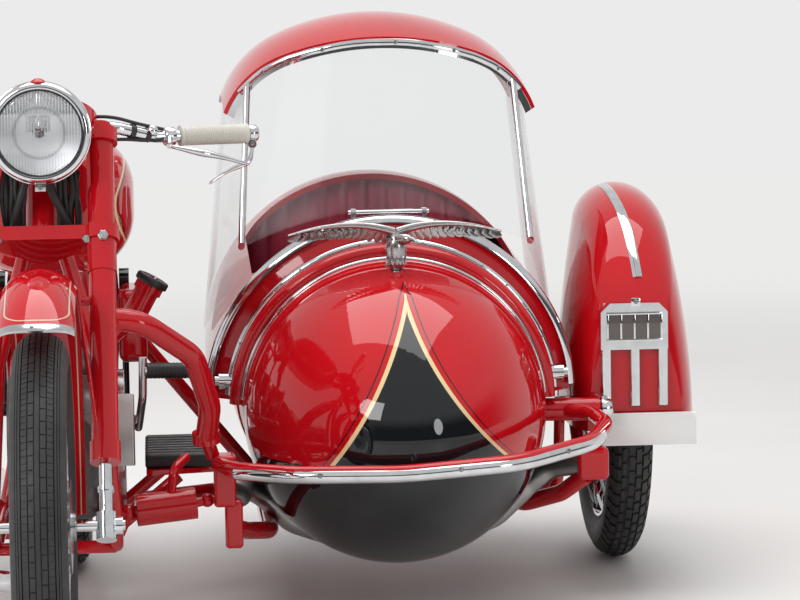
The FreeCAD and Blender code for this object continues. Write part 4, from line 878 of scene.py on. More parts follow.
def slab(name, centre, half, finish, body, edge=1.2, turn=0.0):
    # a small plate with bevelled edges; half sizes in millimetres
    form = bmesh.new()
    bmesh.ops.create_cube(form, size=2.0)
    for vertex in form.verts:
        vertex.co = Vector(vertex.co[index] * half[index] * mm for index in range(3))
    bmesh.ops.bevel(form, geom=form.edges, offset=edge * mm, segments=2, affect="EDGES", profile=0.6)
    bmesh.ops.rotate(form, verts=form.verts, matrix=Matrix.Rotation(turn, 3, "X"))
    bmesh.ops.translate(form, verts=form.verts, vec=centre)
    mesh = bpy.data.meshes.new(name)
    form.to_mesh(mesh)
    form.free()
    return add(name, shaded(mesh, 50), finish, body)


def makeBezel(size):
    mesh = turnedMesh("bezel", size["bezel"], size["centre"], (0, -1, 0), 96, 30.0)
    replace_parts(add("headlamp_bezel", mesh, "chrome", "steering"), "headlamp_rim")


# bands of painted shade on the reflector, standing for the light the glass's flutes bend, in millimetres from its
# middle, and how dark each is
paintedShadeBands = {
    "top": (26.0, 36.0, 0.55),
    "block": (20.0, 2.0, 30.0, 0.75),  # half width, foot, head
    "foot": (30.0, 40.0, 0.28),
    "ring": (44.0, 1.0, 4.0, 0.35),  # radius, then the line's soft edge
    "sides": (26.0, 50.0, 30.0, 0.35),  # from and to, and how far up they fade in
}


def fluteShade(tree, place):
    # painted shade of the glass's flutes, drawn into the reflector's colour: top band, middle block, ring and foot
    x, _, z = parts(tree, place)
    x, z = (x - lamp["centre"].x) / mm, (z - lamp["centre"].z) / mm
    turn = x * (2 * math.pi / lamp["flutePitch"])
    wave = turn.sum("SINE", turn) * 0.5 + 0.5
    far = (x ** 2.0 + z ** 2.0) ** 0.5
    low, high, dark = paintedShadeBands["top"]
    top = smooth(tree, z, low, high) * dark
    half, low, high, dark = paintedShadeBands["block"]
    block = (x.size() < half) * (z > low) * (z < high) * dark
    low, high, dark = paintedShadeBands["foot"]
    foot = smooth(tree, z * -1.0, low, high) * dark
    radius, low, high, dark = paintedShadeBands["ring"]
    ring = (1.0 - smooth(tree, (far - radius).size(), low, high)) * dark
    low, high, fade, dark = paintedShadeBands["sides"]
    sides = smooth(tree, x.size(), low, high) * smooth(tree, z + fade, 0.0, fade) * dark
    return (top + block + foot + sides) * wave + ring


# the reflector's finish, darkened in stripes and a ring by painted flute shade
def makePaintedShadeReflector():
    colour = metals["reflector"][0]
    material, tree, shader = newFinish("paintedShadeReflector", {"Metallic": 0.6})
    place = objectPlace(tree)
    shade = fluteShade(tree, place)
    # the dark colour is the painted flute shade laid over the reflector's own colour
    join(tree, blendColour(tree, shade, colour, (0.20, 0.21, 0.23, 1.0)), shader.inputs["Base Color"])
    join(tree, spread(tree, noise(tree, place, 20.0), 0.36, 0.5), shader.inputs["Roughness"])
    return material


finishes["paintedShadeReflector"] = makePaintedShadeReflector()
makeLampGlass(lamp)
makeReflector(lamp)
makeBezel(lamp)
clipAt = lamp["centre"] + off(0, 6, -94)
slab("headlamp_clip", clipAt, (9.5, 4.0, 7.5), "polishedSteel", "steering")
fasten("headlamp_clip_screw", "domeScrew", 4.6, [(clipAt + off(0, -4, 0), (0, -1, 0))], "steering")
pip = [(0, 0), (0, 12), (3, 14), (6, 10), (8.4, 5), (9, 0)]
pipMesh = turnedMesh("pip", pip, lamp["centre"] + off(0, 14, 86), (0, 0, 1), 24)
add("headlamp_top_button", pipMesh, "redEnamel", "steering")
say("headlamp glazed")

# ---- cables and rubber on the steering

cables = {
    "barCable": 3.2,
    "loom": 7.5,
    "rowLoom": 6.4,
    "clip": [(-4.5, 11.4), (-4.5, 13.2), (4.5, 13.2), (4.5, 11.4)],
}
# routes in millimetres, each side of the middle plane
barRoutes = [
    [(62, 404, 1001), (96, 392, 1006), (132, 386, 1003), (165, 398, 992), (196, 408, 984), (216, 414, 979)],
    [(84, 396, 968), (112, 384, 963), (150, 388, 964), (190, 402, 959), (216, 410, 962)],
]
loomRoutes = [
    [(-22, 284, 918), (-34, 276, 880), (-47, 278, 842), (-52, 286, 806), (-49, 294, 790)],
    [(10, 284, 918), (14, 274, 884), (34, 276, 846), (47, 284, 812), (50, 294, 790)],
    [(-64, 288, 920), (-72, 284, 884), (-70, 288, 840), (-64, 296, 800)],
    [(60, 288, 916), (64, 286, 880), (58, 288, 840), (66, 296, 800)],
]
loomRow = (-64, -54, -44, -34, 31, 41, 51, 61)  # how far across the darker bundles behind them stand


def makeCables(size):
    meshes = []
    for side in (1, -1):
        for route in barRoutes:
            meshes.append(tubeMesh("cable", [at(side * x, y, z) for x, y, z in route], size["barCable"]))
    add("bar_cables", joined("cables", meshes), "blackRubber", "steering")
    looms = [tubeMesh("loom", [at(*place) for place in route], size["loom"] * (1.0 if index < 2 else 0.5), sides=12)
             for index, route in enumerate(loomRoutes)]
    for index, x in enumerate(loomRow):
        sway = 5.0 * math.sin(2.4 * index)
        route = [at(x, 296, 914), at(x + sway, 290, 880), at(x - sway, 292, 840), at(x, 296, 796)]
        looms.append(tubeMesh("loom", route, size["rowLoom"]))
    add("wiring_looms", joined("looms", looms), "blackRubber", "steering")
    clips = []
    for side in (1, -1):
        inner, outer = at(side * 130, 383, 985), at(side * 200, 415, 966)
        along = (outer - inner).normalized()
        for share in (0.42, 0.80):
            clips.append(turnedMesh("clip", size["clip"], inner.lerp(outer, share), along, 24))
    add("bar_clips", joined("clips", clips), "blackRubber", "steering")


bar = {
    "inner": (200, 415, 966),
    "end": (372, 474, 966),
    "radius": 11.2,  # bore of what clips round it
}


def barEnds(side):
    return [at(side * x, y, z) for x, y, z in (bar["inner"], bar["end"])]


grip = {
    "pitch": 3.4,
    "radius": 17.8,
    "valley": 17.1,
    "length": 130.0,
    "fromEnd": 4.0,
    "collar": 19.0,
}


def makeGrips(size):
    meshes = []
    for side in (1, -1):
        inner, outer = barEnds(side)
        along = (outer - inner).normalized()
        start = outer - along * (size["length"] + size["fromEnd"]) * mm
        pitch, length, low, high, wide = [size[key] for key in ("pitch", "length", "valley", "radius", "collar")]
        outline = [(0, bar["radius"]), (0, wide), (2.5, wide + 0.6), (5.0, wide), (5.6, low)]
        for index in range(int((length - 14) / pitch)):
            base = 6.0 + index * pitch
            rib = ((0.1, low), (0.3, high), (0.8, high), (0.95, low))
            outline += [(base + share * pitch, out) for share, out in rib]
        outline += [(length - 5, wide), (length - 2, 19.4), (length, 18.2), (length, bar["radius"])]
        meshes.append(turnedMesh("grip", outline, start, along, 32, 50.0))
    piece = add("handlebar_grips", joined("grips", meshes), "creamRubber", "steering")
    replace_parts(piece, "grips")
    caps = [turnedMesh("button", [(0, 0), (0, 11), (4, 11), (9, 8), (12, 3), (12.6, 0)],
                       at(side * 196, 406, 976), (side * -0.1, -0.45, 0.9), 24) for side in (1, -1)]
    add("horn_buttons", joined("caps", caps), "chrome", "steering")


makeCables(cables)
makeGrips(grip)
say("handlebar dressed")

# ---- front mudguard: its rounded lip with a polished edge

guardArc = {
    "centre": (34.0, 396.8),
    "radius": 368.0,
    "half": 62.0,
    "drop": 36.0,
    "end": 34.0,
    "bulge": 4.6,
    "sheet": 3.0,
    "trim": 2.35,
    "lineRound": 30.0,
    "lineSide": 53.0,
    "lineFront": 25.0,
    "lineHalf": 1.15,
}


def guardPoint(size, x, degrees, lift=0.0):
    bow = (size["half"] ** 2 + size["drop"] ** 2) / (2 * size["drop"])
    out = size["radius"] - bow + math.sqrt(bow * bow - x * x) + lift
    angle = math.radians(degrees)
    return at(x, size["centre"][0] - out * math.sin(angle), size["centre"][1] + out * math.cos(angle))


def guardEnd(size, x):
    return size["end"] + size["bulge"] * (1 - (x / size["half"]) ** 2)


def makeLip(size):
    half = size["half"]
    columns = [half * math.sin(math.pi * (index / 40 - 0.5)) for index in range(41)]
    steps = (0.0, 0.3, 0.6, 0.8, 1.0)
    grids = []
    for lift in (0.05, -size["sheet"] - 0.05):
        grids.append([[guardPoint(size, x, size["end"] - 0.4 + (guardEnd(size, x) - size["end"] + 0.4) * step, lift)
                       for x in columns] for step in steps])
    add("front_mudguard_lip", slabMesh("lip", *grids), "mudguardEnamel", "steering")
    grids = []
    for lift in (1.5, -size["sheet"] - 0.6):
        grids.append([[guardPoint(size, x, guardEnd(size, x) - size["trim"] * (1 - step) + 0.25 * step, lift
                                  if 0.0 < step < 1.0 else lift * 0.5 if lift > 0 else lift)
                       for x in columns] for step in (0.0, 0.12, 0.5, 0.88, 1.0)])
    add("front_mudguard_trim", slabMesh("trim", *grids), "polishedSteel", "steering")
    place = guardPoint(size, -6, guardEnd(size, 0) - size["trim"] / 2, 1.4)
    facing = place - at(-6, *size["centre"])
    fasten("front_mudguard_screw", "domeScrew", 3.4, [(place, facing)], "steering")


def mudguardPattern(tree, place, paint):
    size = guardArc
    x, y, z = parts(tree, place)
    across = (x - frontAxle.x) / mm
    back = (y - at(0, size["centre"][0], 0).y) / mm
    up = z / mm - size["centre"][1]
    angle = up.sum("ARCTAN2", back * -1.0, up) * (180 / math.pi)
    end = size["end"] + size["bulge"] * (1.0 - across * across / size["half"] ** 2)
    inward = (end - angle) * (math.pi / 180 * size["radius"])
    bend = size["lineRound"]  # the line's corners are quarter circles
    outX = across.size() - (size["lineSide"] - bend)
    outS = (size["lineFront"] + bend) - inward
    far = (outX.sum("MAXIMUM", outX, 0.0) ** 2.0 + outS.sum("MAXIMUM", outS, 0.0) ** 2.0) ** 0.5
    near = outX.sum("MAXIMUM", outX, outS)
    gap = far + near.sum("MINIMUM", near, 0.0) - bend
    return blendColour(tree, gap.size() < size["lineHalf"], paint, enamel["cream"])


finishes["mudguardEnamel"] = makeEnamel("mudguardEnamel", enamel, pattern=mudguardPattern)
cover("front_mudguard", "mudguardEnamel")
makeLip(guardArc)
say("front mudguard trimmed")

# ---- bolts on the fork and yokes

forkNuts = [
    # name, across, up, radius, the way it faces
    ("fork_leg_nuts", 106, 806, 8.2, (0, -0.93, 0.36)),
    ("yoke_nuts", 77, 800, 6.4, (0, -1, 0)),
]
for name, across, up, radius, way in forkNuts:
    spots = [(meet("fork_legs", at(side * across, -200, up), (0, 1, 0))[0], way) for side in (1, -1)]
    fasten(name, "hexNut", radius, spots, "steering", "polishedSteel")
say("fork bolted")

# ---- bumper: polished strip on its front, screws and end cap

bumper = {
    # the strip's middle, from the motorcycle's side to the outer end; it follows the CAD tube
    "route": [(330, 520, 340), (450, 448, 340), (640, 412, 342), (860, 448, 352), (1010, 580, 366), (1050, 655, 373)],
    "low": 3.5,
    "half": 13.5,
    "thick": 2.6,
    "screws": (0.20, 0.50, 0.78),
    "inside": (690, 900),  # the strip faces away from here
    "cast": 0.03,
    "bow": 7.0,
    "endAt": (1072, 905, 386),
    "end": [(0, 0), (0, 20), (3, 23.4), (7, 23.4), (7, 20.4), (18, 20.4), (24, 17), (27, 10), (28, 0)],
}


def makeBumperStrip(size):
    line = [at(*point) for point in size["route"]]
    path, ups = [], []
    for point in curvePoints(line, 16):
        inward = (at(*size["inside"], point.z / mm) - point).normalized()
        near = skin("front_bumper").find_nearest(point - inward * size["cast"])[0]
        path.append(near)
        facing = (point - inward * size["cast"] - near).normalized()
        ups.append(Vector((facing.x, facing.y, 0.0)).normalized())
    path = eased(path)
    steps = [-1.0 + 2.0 * index / 8 for index in range(9)]
    low, half, bow = size["low"], size["half"], size["bow"]
    section = [(half * step + low, 1.2 + size["thick"] * (1 - step ** 4) - bow * step ** 2) for step in steps]
    section += [(half * step + low, -1.0 - bow * step ** 2) for step in reversed(steps)]
    add("bumper_strip", sweptMesh("strip", path, ups, section, crease=50.0), "chrome", "outfit")
    places = []
    for share in size["screws"]:
        index = int(share * (len(path) - 1))
        places.append((path[index] + ups[index] * 3.0 * mm, ups[index]))
    fasten("bumper_screws", "domeScrew", 5.2, places, "outfit")
    add("bumper_end", turnedMesh("cap", size["end"], at(*size["endAt"]), (1, 0, 0), 40), "chrome", "outfit")


makeBumperStrip(bumper)
say("bumper trimmed")

# ---- rivets along the cowl's bands

bandScrews = {
    "ahead": 456.0,
    "radius": 333.5,
    "count": 15,
    "spread": 78.0,
    "inset": 8.0,
    "before": 60.0,
}


bodyFrame = {
    "tip": (658.0, 456.0, 362.0),
    "pitch": 6.0,
}


def bodyPlace(x, back, up):
    # a place in the sidecar body's own frame: from the tip, pitched nose-down
    tip, pitch = bodyFrame["tip"], math.radians(bodyFrame["pitch"])
    return at(tip[0] + x, tip[1] + back * math.cos(pitch) - up * math.sin(pitch),
              tip[2] + back * math.sin(pitch) + up * math.cos(pitch))


def bandRivets(size):
    places = []
    ahead = bodyPlace(0, -1, 0) - bodyPlace(0, 0, 0)
    for index in range(size["count"]):
        angle = math.radians(size["spread"] * (2 * index / (size["count"] - 1) - 1))
        out = size["radius"] - size["inset"]
        start = bodyPlace(out * math.sin(angle), size["ahead"] - size["before"], out * math.cos(angle))
        point, facing = skin("cowl_bands").ray_cast(start, (ahead * -1).normalized())[:2]
        if point is not None:  # the bands stop short of the body's foot
            places.append((point, facing))
    fasten("band_rivets", "rivet", 2.6, places, "outfit")


bandRivets(bandScrews)

# ---- bird on the nose

bird = {
    "foot": (658.0, 752.0, 656.0),
    "wingHalf": 208.0,
    "feathers": 13,
    "rows": ((1.0, 30.0), (0.82, 20.0), (0.62, 12.0)),  # each row's reach and the length of its first feather
    "beak": ((24, -30, 92), (31, -38, 91), (37, -45, 87), (38, -47, 80)),
    "spine": ((4, -4, 104), (34, -9, 114), (80, -7, 119), (132, -1, 116), (176, 7, 108), (206, 12, 99)),
}
# turned parts of the bird: outline, foot, way, sides
birdParts = [
    ([(0, 0), (0, 19), (4, 20.5), (8, 19), (9, 15), (12, 17.5), (16, 15.5), (17, 12.5), (20, 15), (24, 12), (28, 11),
      (32, 0)], (0, 0, 0), (0, -0.05, 1), 32),
    ([(0, 0), (3, 11), (14, 17), (30, 20), (46, 20.5), (60, 18), (70, 13), (78, 8), (80, 0)], (0, 4, 28),
     (0, -0.10, 1.0), 28),
    ([(0, 0), (0, 12), (8, 13), (18, 11.5), (28, 10), (36, 7), (41, 0)], (2, -4, 88), (0.62, -0.72, 0.10), 20),
]


def featherMesh(root, tip, wide, lift, facing):
    # one slim feather with a raised shaft
    along = tip - root
    across = along.cross(facing).normalized()
    up = across.cross(along).normalized()
    corners, count = [], 7
    for step in range(count):
        share = step / (count - 1)
        width = wide * (0.55 + 0.9 * share - 1.25 * share ** 3) * mm
        middle = root + along * share
        corners += [middle - across * width, middle + up * lift * mm * (1 - 0.6 * share), middle + across * width,
                    middle - up * 0.6 * mm]
    faces = []
    for step in range(count - 1):
        faces += strip(step * 4, step * 4 + 4, 4)
    faces += [(0, 1, 2, 3), tuple((count - 1) * 4 + side for side in range(4))]
    return meshOf("feather", corners, faces, 35.0)


def nearest(points, place):
    return min(range(len(points)), key=lambda index: (points[index] - place).length)


def thinned(route, first, last, steps):
    # a round rod along a route, thinner towards its end
    points = curvePoints(route, steps)
    rod = sweptMesh("rod", points, steadyUps(points), oval(1, 1, 10))
    ends = len(points) - 1
    for vertex in rod.vertices:
        index = nearest(points, vertex.co)
        vertex.co = points[index] + (vertex.co - points[index]) * (first + (last - first) * index / ends)
    return rod


def makeBird(size):
    base = at(*size["foot"])
    meshes = [turnedMesh("bird", outline, base + off(*foot), way, sides) for outline, foot, way, sides in birdParts]
    meshes.append(thinned([base + off(*place) for place in size["beak"]], 5.4, 0.8, 4))
    for side in (1, -1):
        for row, (reach, long) in enumerate(size["rows"]):
            for index in range(size["feathers"]):
                share = index / (size["feathers"] - 1)
                spar = 16 + (size["wingHalf"] - 42) * reach * share
                rise = 110 + 6 * math.sin(math.pi * min(1.0, share * 1.1)) - 9 * share
                root = base + off(side * spar, -7 + 13 * share - 1.5 * row, rise)
                out = min(7 + 22 * share ** 1.5, size["wingHalf"] - 1 - spar)
                tip = root + off(side * out, 13 - 2 * row, -long * (1.0 - 0.62 * share))
                meshes.append(featherMesh(root, tip, 10.5 - 1.8 * row, 2.2, Vector((0, -1, 0.3))))
        meshes.append(thinned([base + off(side * x, y, z) for x, y, z in size["spine"]], 9.0, 2.2, 10))
    for index in range(5):
        fan = math.radians(-34 + 17 * index)
        root = base + off(0, 16, 50)
        tip = root + off(36 * math.sin(fan), 12, -22 * math.cos(fan))
        meshes.append(featherMesh(root, tip, 7.0, 3.0, Vector((0, -1, 0.2))))
    for index in range(7):
        for row in range(3):
            turn = math.radians(-66 + 22 * index + 11 * (row % 2))
            root = base + off(19 * math.sin(turn), 2 - 19 * math.cos(turn), 92 - 17 * row)
            tip = root + off(1.5 * math.sin(turn), -1.5 * math.cos(turn), -17)
            meshes.append(featherMesh(root, tip, 5.4, 2.2, Vector((math.sin(turn), -math.cos(turn), 0))))
    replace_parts(add("bird_figure", joined("bird", meshes), "darkChrome", "outfit"), "bird_mascot")


makeBird(bird)
say("bird perched")

# ---- sidecar mudguard: centre strip and lamp

guardStrip = {
    "route": [(1142, 1320, 806), (1142, 1189, 790), (1149, 1099, 759), (1154, 1038, 719), (1158, 999, 677),
              (1161, 977, 640)],
    "half": 9.5,
    "thick": 2.4,
    "hub": (1160, 1300, 560),  # the strip faces away from here
    "cast": 0.2,
}


def makeGuardStrip(size):
    path, ups = [], []
    for place in curvePoints([at(*point) for point in size["route"]], 10):
        up = (place - at(*size["hub"])).normalized()
        path.append(meet("sidecar_mudguard", place + up * size["cast"], -up)[0])
        ups.append(up)
    half, thick = size["half"], size["thick"]
    left = [(-half, -1.5), (-half, thick * 0.6), (-half + 2.5, thick), (-3, thick), (-2, thick + 1.6)]
    section = left + [(-across, up) for across, up in reversed(left)]
    add("sidecar_guard_strip", sweptMesh("strip", path, ups, section, crease=50.0), "chrome", "outfit")


makeGuardStrip(guardStrip)
trimBox = boxOf("guard_lamp_trim")
lampFace = {
    "cells": 4,
    "cell": (23.0, 50.0),
    "bar": 4.0,
    "below": 47.0,
}


def makeGuardLamp(size):
    middle = (trimBox[0].x + trimBox[1].x) / 2
    wide, tall = size["cell"]
    pitch = wide + size["bar"]
    face, level = trimBox[0].y, trimBox[1].z - size["below"] * mm
    back = Vector((middle, face - 0.4 * mm, level))
    slab("guard_lamp_back", back, (pitch * 2, 1.0, tall / 2), "smokedGlass", "outfit", 0.6)
    for index in range(size["cells"] + 1):
        x = middle + (index - size["cells"] / 2) * pitch * mm
        half = (size["bar"] / 2, 2.6, tall / 2 + 2)
        slab("guard_lamp_bar_%d" % index, Vector((x, face - 1.0 * mm, level)), half, "chrome", "outfit", 1.0)
    for name, side in (("top", 1), ("foot", -1)):
        slab("guard_lamp_" + name, Vector((middle, face - 1.0 * mm, level + side * (tall / 2 + 1.5) * mm)),
             (pitch * 2 + 2, 3.0, 2.6), "chrome", "outfit", 1.2)
    tab = Vector((middle + 3 * mm, face + 1.0 * mm, trimBox[1].z + 2 * mm))
    slab("guard_lamp_tab", tab, (10.0, 3.5, 9.0), "chrome", "outfit", 3.2)
    fasten("guard_lamp_screw", "domeScrew", 4.6, [(tab + off(0, -3.4, 1), (0, -1, 0))], "outfit")


makeGuardLamp(lampFace)
say("sidecar mudguard dressed")

# ---- padded seats

cushions = {
    # finish, slot, voxel, how much smaller it starts, how far a point may move, seam's level (axis, share),
    # channels (axis, pitch, depth)
    "rider_saddle": ("blackLeather", "black_leather", 5.0, 0.97, 14.0, (2, 0.62), None),
    "pillion_seat": ("blackLeather", "black_leather", 5.0, 0.97, 14.0, (2, 0.62), (1, 52.0, 4.0)),
    "sidecar_seat": ("maroonLeather", "seat_leather", 6.0, 0.97, 24.0, (2, 0.80), (0, 54.0, 6.0)),
    "sidecar_backrest": ("maroonLeather", "seat_leather", 7.5, 0.985, 16.0, (1, 0.30), (0, 56.0, 6.0)),
}
padding = {
    "pressure": 4.0,
    "frames": 20,
    "channelWidth": 7.0,
    "piping": 3.4,
    "pipingSteps": 120,
    "fill": 0.7,
    "seamBand": 5.0,
    "seamAngle": 0.06,
}


def places(mesh):
    values = np.empty(len(mesh.vertices) * 3)
    mesh.vertices.foreach_get("co", values)
    return values.reshape(-1, 3)


def swell(piece, cap):
    # the cover blown up by cloth simulation, each point held to the cap
    before = places(piece.data)
    cloth = piece.modifiers.new("cover", "CLOTH")
    cloth.settings.use_pressure = True
    cloth.settings.uniform_pressure_force = padding["pressure"]
    cloth.settings.effector_weights.gravity = 0.0
    cloth.point_cache.frame_start = 1
    cloth.point_cache.frame_end = padding["frames"]
    scene = bpy.context.scene
    for step in range(1, padding["frames"] + 1):
        scene.frame_set(step)
    mesh = finished(piece)
    scene.frame_set(1)
    moved = places(mesh) - before
    length = np.linalg.norm(moved, axis=1, keepdims=True)
    after = before + moved * np.minimum(1.0, cap * mm / np.maximum(length, 1e-9))
    mesh.vertices.foreach_set("co", after.ravel())
    return mesh


def pressChannels(mesh, middle, axis, pitch, depth):
    # sewn channels drawn in across the cover
    points = places(mesh)
    normals = np.empty(len(mesh.vertices) * 3)
    mesh.vertices.foreach_get("normal", normals)
    normals = normals.reshape(-1, 3)
    along = (points[:, axis] - middle[axis]) / mm / pitch + 0.5
    away = (along - np.round(along)) * pitch
    bare = np.clip(1.6 * np.max(np.abs(normals[:, 1:]), axis=1) - 0.3, 0, 1)
    drawn = depth * np.exp(-(away / padding["channelWidth"]) ** 2) * bare
    mesh.vertices.foreach_set("co", (points - normals * (drawn * mm)[:, None]).ravel())
    mesh.update()


def seamLoop(mesh, axis, level):
    # the cover's outline at one level, as a closed smooth line
    points = places(mesh)
    others = [index for index in range(3) if index != axis]
    near = points[np.abs(points[:, axis] - level) < padding["seamBand"] * mm]
    middle = (points.min(axis=0) + points.max(axis=0)) / 2
    flat = near[:, others] - middle[others]
    angles = np.arctan2(flat[:, 1], flat[:, 0])
    reach = np.hypot(flat[:, 0], flat[:, 1])
    loop = []
    for step in range(padding["pipingSteps"]):
        way = 2 * math.pi * step / padding["pipingSteps"] - math.pi
        apart = np.abs((angles - way + math.pi) % (2 * math.pi) - math.pi)
        beside = apart < padding["seamAngle"]
        out = reach[beside].max() if beside.any() else reach[apart.argmin()]
        place = np.array(middle)
        place[axis] = level
        place[others[0]] += out * math.cos(way)
        place[others[1]] += out * math.sin(way)
        loop.append(Vector(place))
    return eased(loop, True)


def makeCushion(node, row):
    finish, slot, voxel, smaller, cap, (axis, share), channels = row
    middle = middleOf(node)
    mesh = nodes[node].data.copy()
    mesh.transform(Matrix.Translation(middle) @ Matrix.Scale(smaller, 4) @ Matrix.Translation(-middle))
    piece = newPiece(node + "_cover", mesh, finish)
    remesh = piece.modifiers.new("even", "REMESH")
    remesh.mode = "VOXEL"
    remesh.voxel_size = voxel * mm
    remesh.use_smooth_shade = True
    piece.data = finished(piece)
    piece.data = swell(piece, cap)
    rounding = piece.modifiers.new("round", "SUBSURF")
    rounding.levels = rounding.render_levels = 1
    piece.data = finished(piece)
    if channels:
        pressChannels(piece.data, middle, *channels)
    piece.data.shade_smooth()
    settle(piece, "outfit")
    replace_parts(piece, node)
    low, high = [np.array(corner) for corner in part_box(node)]
    loop = seamLoop(piece.data, axis, low[axis] + (high[axis] - low[axis]) * share)
    section = oval(padding["piping"], padding["piping"], 8)
    up = Vector([1.0 if index == axis else 0.0 for index in range(3)])
    add(node + "_piping", sweptMesh("piping", loop, [up] * len(loop), section, True), finish, "outfit")


for node, row in cushions.items():
    makeCushion(node, row)
    say(node + " padded")

# ---- canopy: trim under the roof's front edge, and its screws

canopyTrim = {
    "width": 13.0,
    "thick": 2.4,
    "drop": 4.5,
    "reach": 292.0,
    "steps": 44,
    "screws": (-235, -120, 30, 150, 240),
    "top": 1175.0,
    "stepDown": 4.0,
    "ahead": 600.0,
    "furthest": 1290.0,
}


def roofEdge(size, x):
    # the roof's front edge: the lowest point met from ahead, going down its sheet
    across, lowest = middleOf("canopy_roof").x + x * mm, None
    for step in range(60):
        start = Vector((across, at(0, size["ahead"], 0).y, (size["top"] - step * size["stepDown"]) * mm))
        point = skin("canopy_roof").ray_cast(start, Vector((0, 1, 0)))[0]
        if point is None and lowest is not None:
            break
        if point is not None and point.y <= at(0, size["furthest"], 0).y:
            lowest = point
    return lowest


def makeCanopyTrim(size):
    path = [roofEdge(size, size["reach"] * (2 * step / size["steps"] - 1)) for step in range(size["steps"] + 1)]
    path = [point - off(0, 0, size["drop"]) for point in eased(path)]
    ups = [Vector((0, -1, 0.15))] * len(path)
    half, thick = size["width"] / 2, size["thick"]
    left = [(-half, 0.0), (-half, thick), (-half + 3, thick + 1.6)]
    section = left + [(-across, up) for across, up in reversed(left)]
    add("windscreen_trim", sweptMesh("trim", path, ups, section, crease=50.0), "chrome", "canopy")
    places = []
    middle = middleOf("canopy_roof").x
    for x in size["screws"]:
        near = min(path, key=lambda point: abs(point.x - middle - x * mm))
        places.append((near + off(0, -3.5, 0), (0, -1, 0.1)))
    fasten("windscreen_screws", "domeScrew", 4.6, places, "canopy")


makeCanopyTrim(canopyTrim)
say("canopy trimmed")

# ---- small pieces

plate = {
    "middle": (1175.0, 930.0, 339.0),
    "half": (96.0, 1.2, 33.0),
}
slab("number_plate", at(*plate["middle"]), plate["half"], "whitePaint", "outfit")
say("small pieces placed")

canisterCap = {
    "low": (150, 850, 596),
    "high": (190, 848, 668),
    "ridges": 28,
    "ridgeFrom": 29.5,
    "ridgeDepth": 0.045,
    "outline": [(-9.0, 0), (-9.0, 28.2), (-9.0, 31.5), (-6.5, 33.0), (2.5, 33.0), (5.5, 30.5), (6.5, 24.0), (5.0, 22.0),
                (5.0, 8.0), (7.5, 6.5), (7.5, 0)],
    "centre": [(4.0, 0), (4.0, 9), (8.5, 8.5), (9.5, 6), (9.5, 0)],
}


def makeCap(size):
    # black ridged cap on the canister
    low, high = at(*size["low"]), at(*size["high"])
    way = (high - low).normalized()
    side, up = crossways(way)
    mesh = turnedMesh("cap", size["outline"], high, way, 2 * size["ridges"])
    for vertex in mesh.vertices:
        along = (vertex.co - high).dot(way)
        out = vertex.co - high - way * along
        turn = math.atan2(out.dot(up), out.dot(side)) / (2 * math.pi) * size["ridges"]
        if out.length > size["ridgeFrom"] * mm and round(turn * 2) % 2:
            vertex.co -= out * size["ridgeDepth"]
    add("canister_cap", mesh, "blackRubber", "outfit")
    add("canister_cap_centre", turnedMesh("centre", size["centre"], high, way, 24), "chrome", "outfit")


makeCap(canisterCap)

pedal = {
    "from": (172.0, 754.0, 502.0),
    "to": (258.0, 788.5, 496.2),
    "rings": 11,
}


def makePedal(size):
    # ribbed rubber on the kick lever
    start, end = at(*size["from"]), at(*size["to"])
    length = (end - start).length / mm
    outline = [(0, 11.4), (0, 15.0)]
    for index in range(size["rings"]):
        base = 2.0 + index * (length - 6.0) / size["rings"]
        outline += [(base, 15.4), (base + 3.4, 15.4), (base + 4.0, 13.8), (base + 5.6, 13.8)]
    outline += [(length - 2, 15.6), (length, 14.6), (length, 11.4)]
    mesh = turnedMesh("rubber", outline, start, end - start, 28, 50.0)
    add("kick_rubber", mesh, "blackRubber", "outfit")


makePedal(pedal)

# ---- lines on the tank, and the tail lamp's glass

tankBox = boxOf("fuel_tank")
tankLine = {
    "long": 0.80,
    "tall": 0.66,
    "gold": 0.020,
    "black": 0.050,
}


def tankPattern(tree, place, paint):
    _, y, z = parts(tree, place)
    middle, half = (tankBox[0] + tankBox[1]) / 2, (tankBox[1] - tankBox[0]) / 2
    along = (y - middle.y) / (half.y * tankLine["long"])
    up = (z - middle.z) / (half.z * tankLine["tall"])
    ring = (along ** 2.0 + up ** 2.0) ** 0.5 - 1.0
    paint = blendColour(tree, (ring + tankLine["black"]).size() < tankLine["gold"] * 0.7, paint, enamel["black"])
    return blendColour(tree, ring.size() < tankLine["gold"], paint, enamel["gold"])


finishes["tankEnamel"] = makeEnamel("tankEnamel", enamel, pattern=tankPattern)
cover("fuel_tank", "tankEnamel")

tailBox = boxOf("rear_lamp")
tail = {
    "radius": 33.0,
    "rim": 3.0,
    "dome": 7.0,
    "below": 34.0,
}


def makeTail(size):
    low, high = tailBox
    centre = Vector(((low.x + high.x) / 2, high.y, high.z - size["below"] * mm))
    radius, rim, dome = size["radius"], size["rim"], size["dome"]
    ring = [(-5, radius), (-5, radius + rim), (1.5, radius + rim), (3.0, radius + 1), (3.0, radius - 4),
            (0.0, radius - 4)]
    add("tail_lamp_rim", turnedMesh("rim", ring, centre, (0, 1, 0), 48), "chrome", "outfit")
    lens = [(-0.5, 0), (-0.5, radius - 4.2)]
    for index in range(1, 9):
        share = index / 8
        lens.append((dome * (1 - (1 - share) ** 2) + 0.5 * (index % 2), (radius - 4.2) * (1 - share) ** 0.8))
    add("tail_lamp_lens", turnedMesh("lens", lens, centre, (0, 1, 0), 40), "tailGlass", "outfit")


makeTail(tail)
say("tail lamp glazed")

# ---- hand levers: blades with clips, pivots and rounded ends

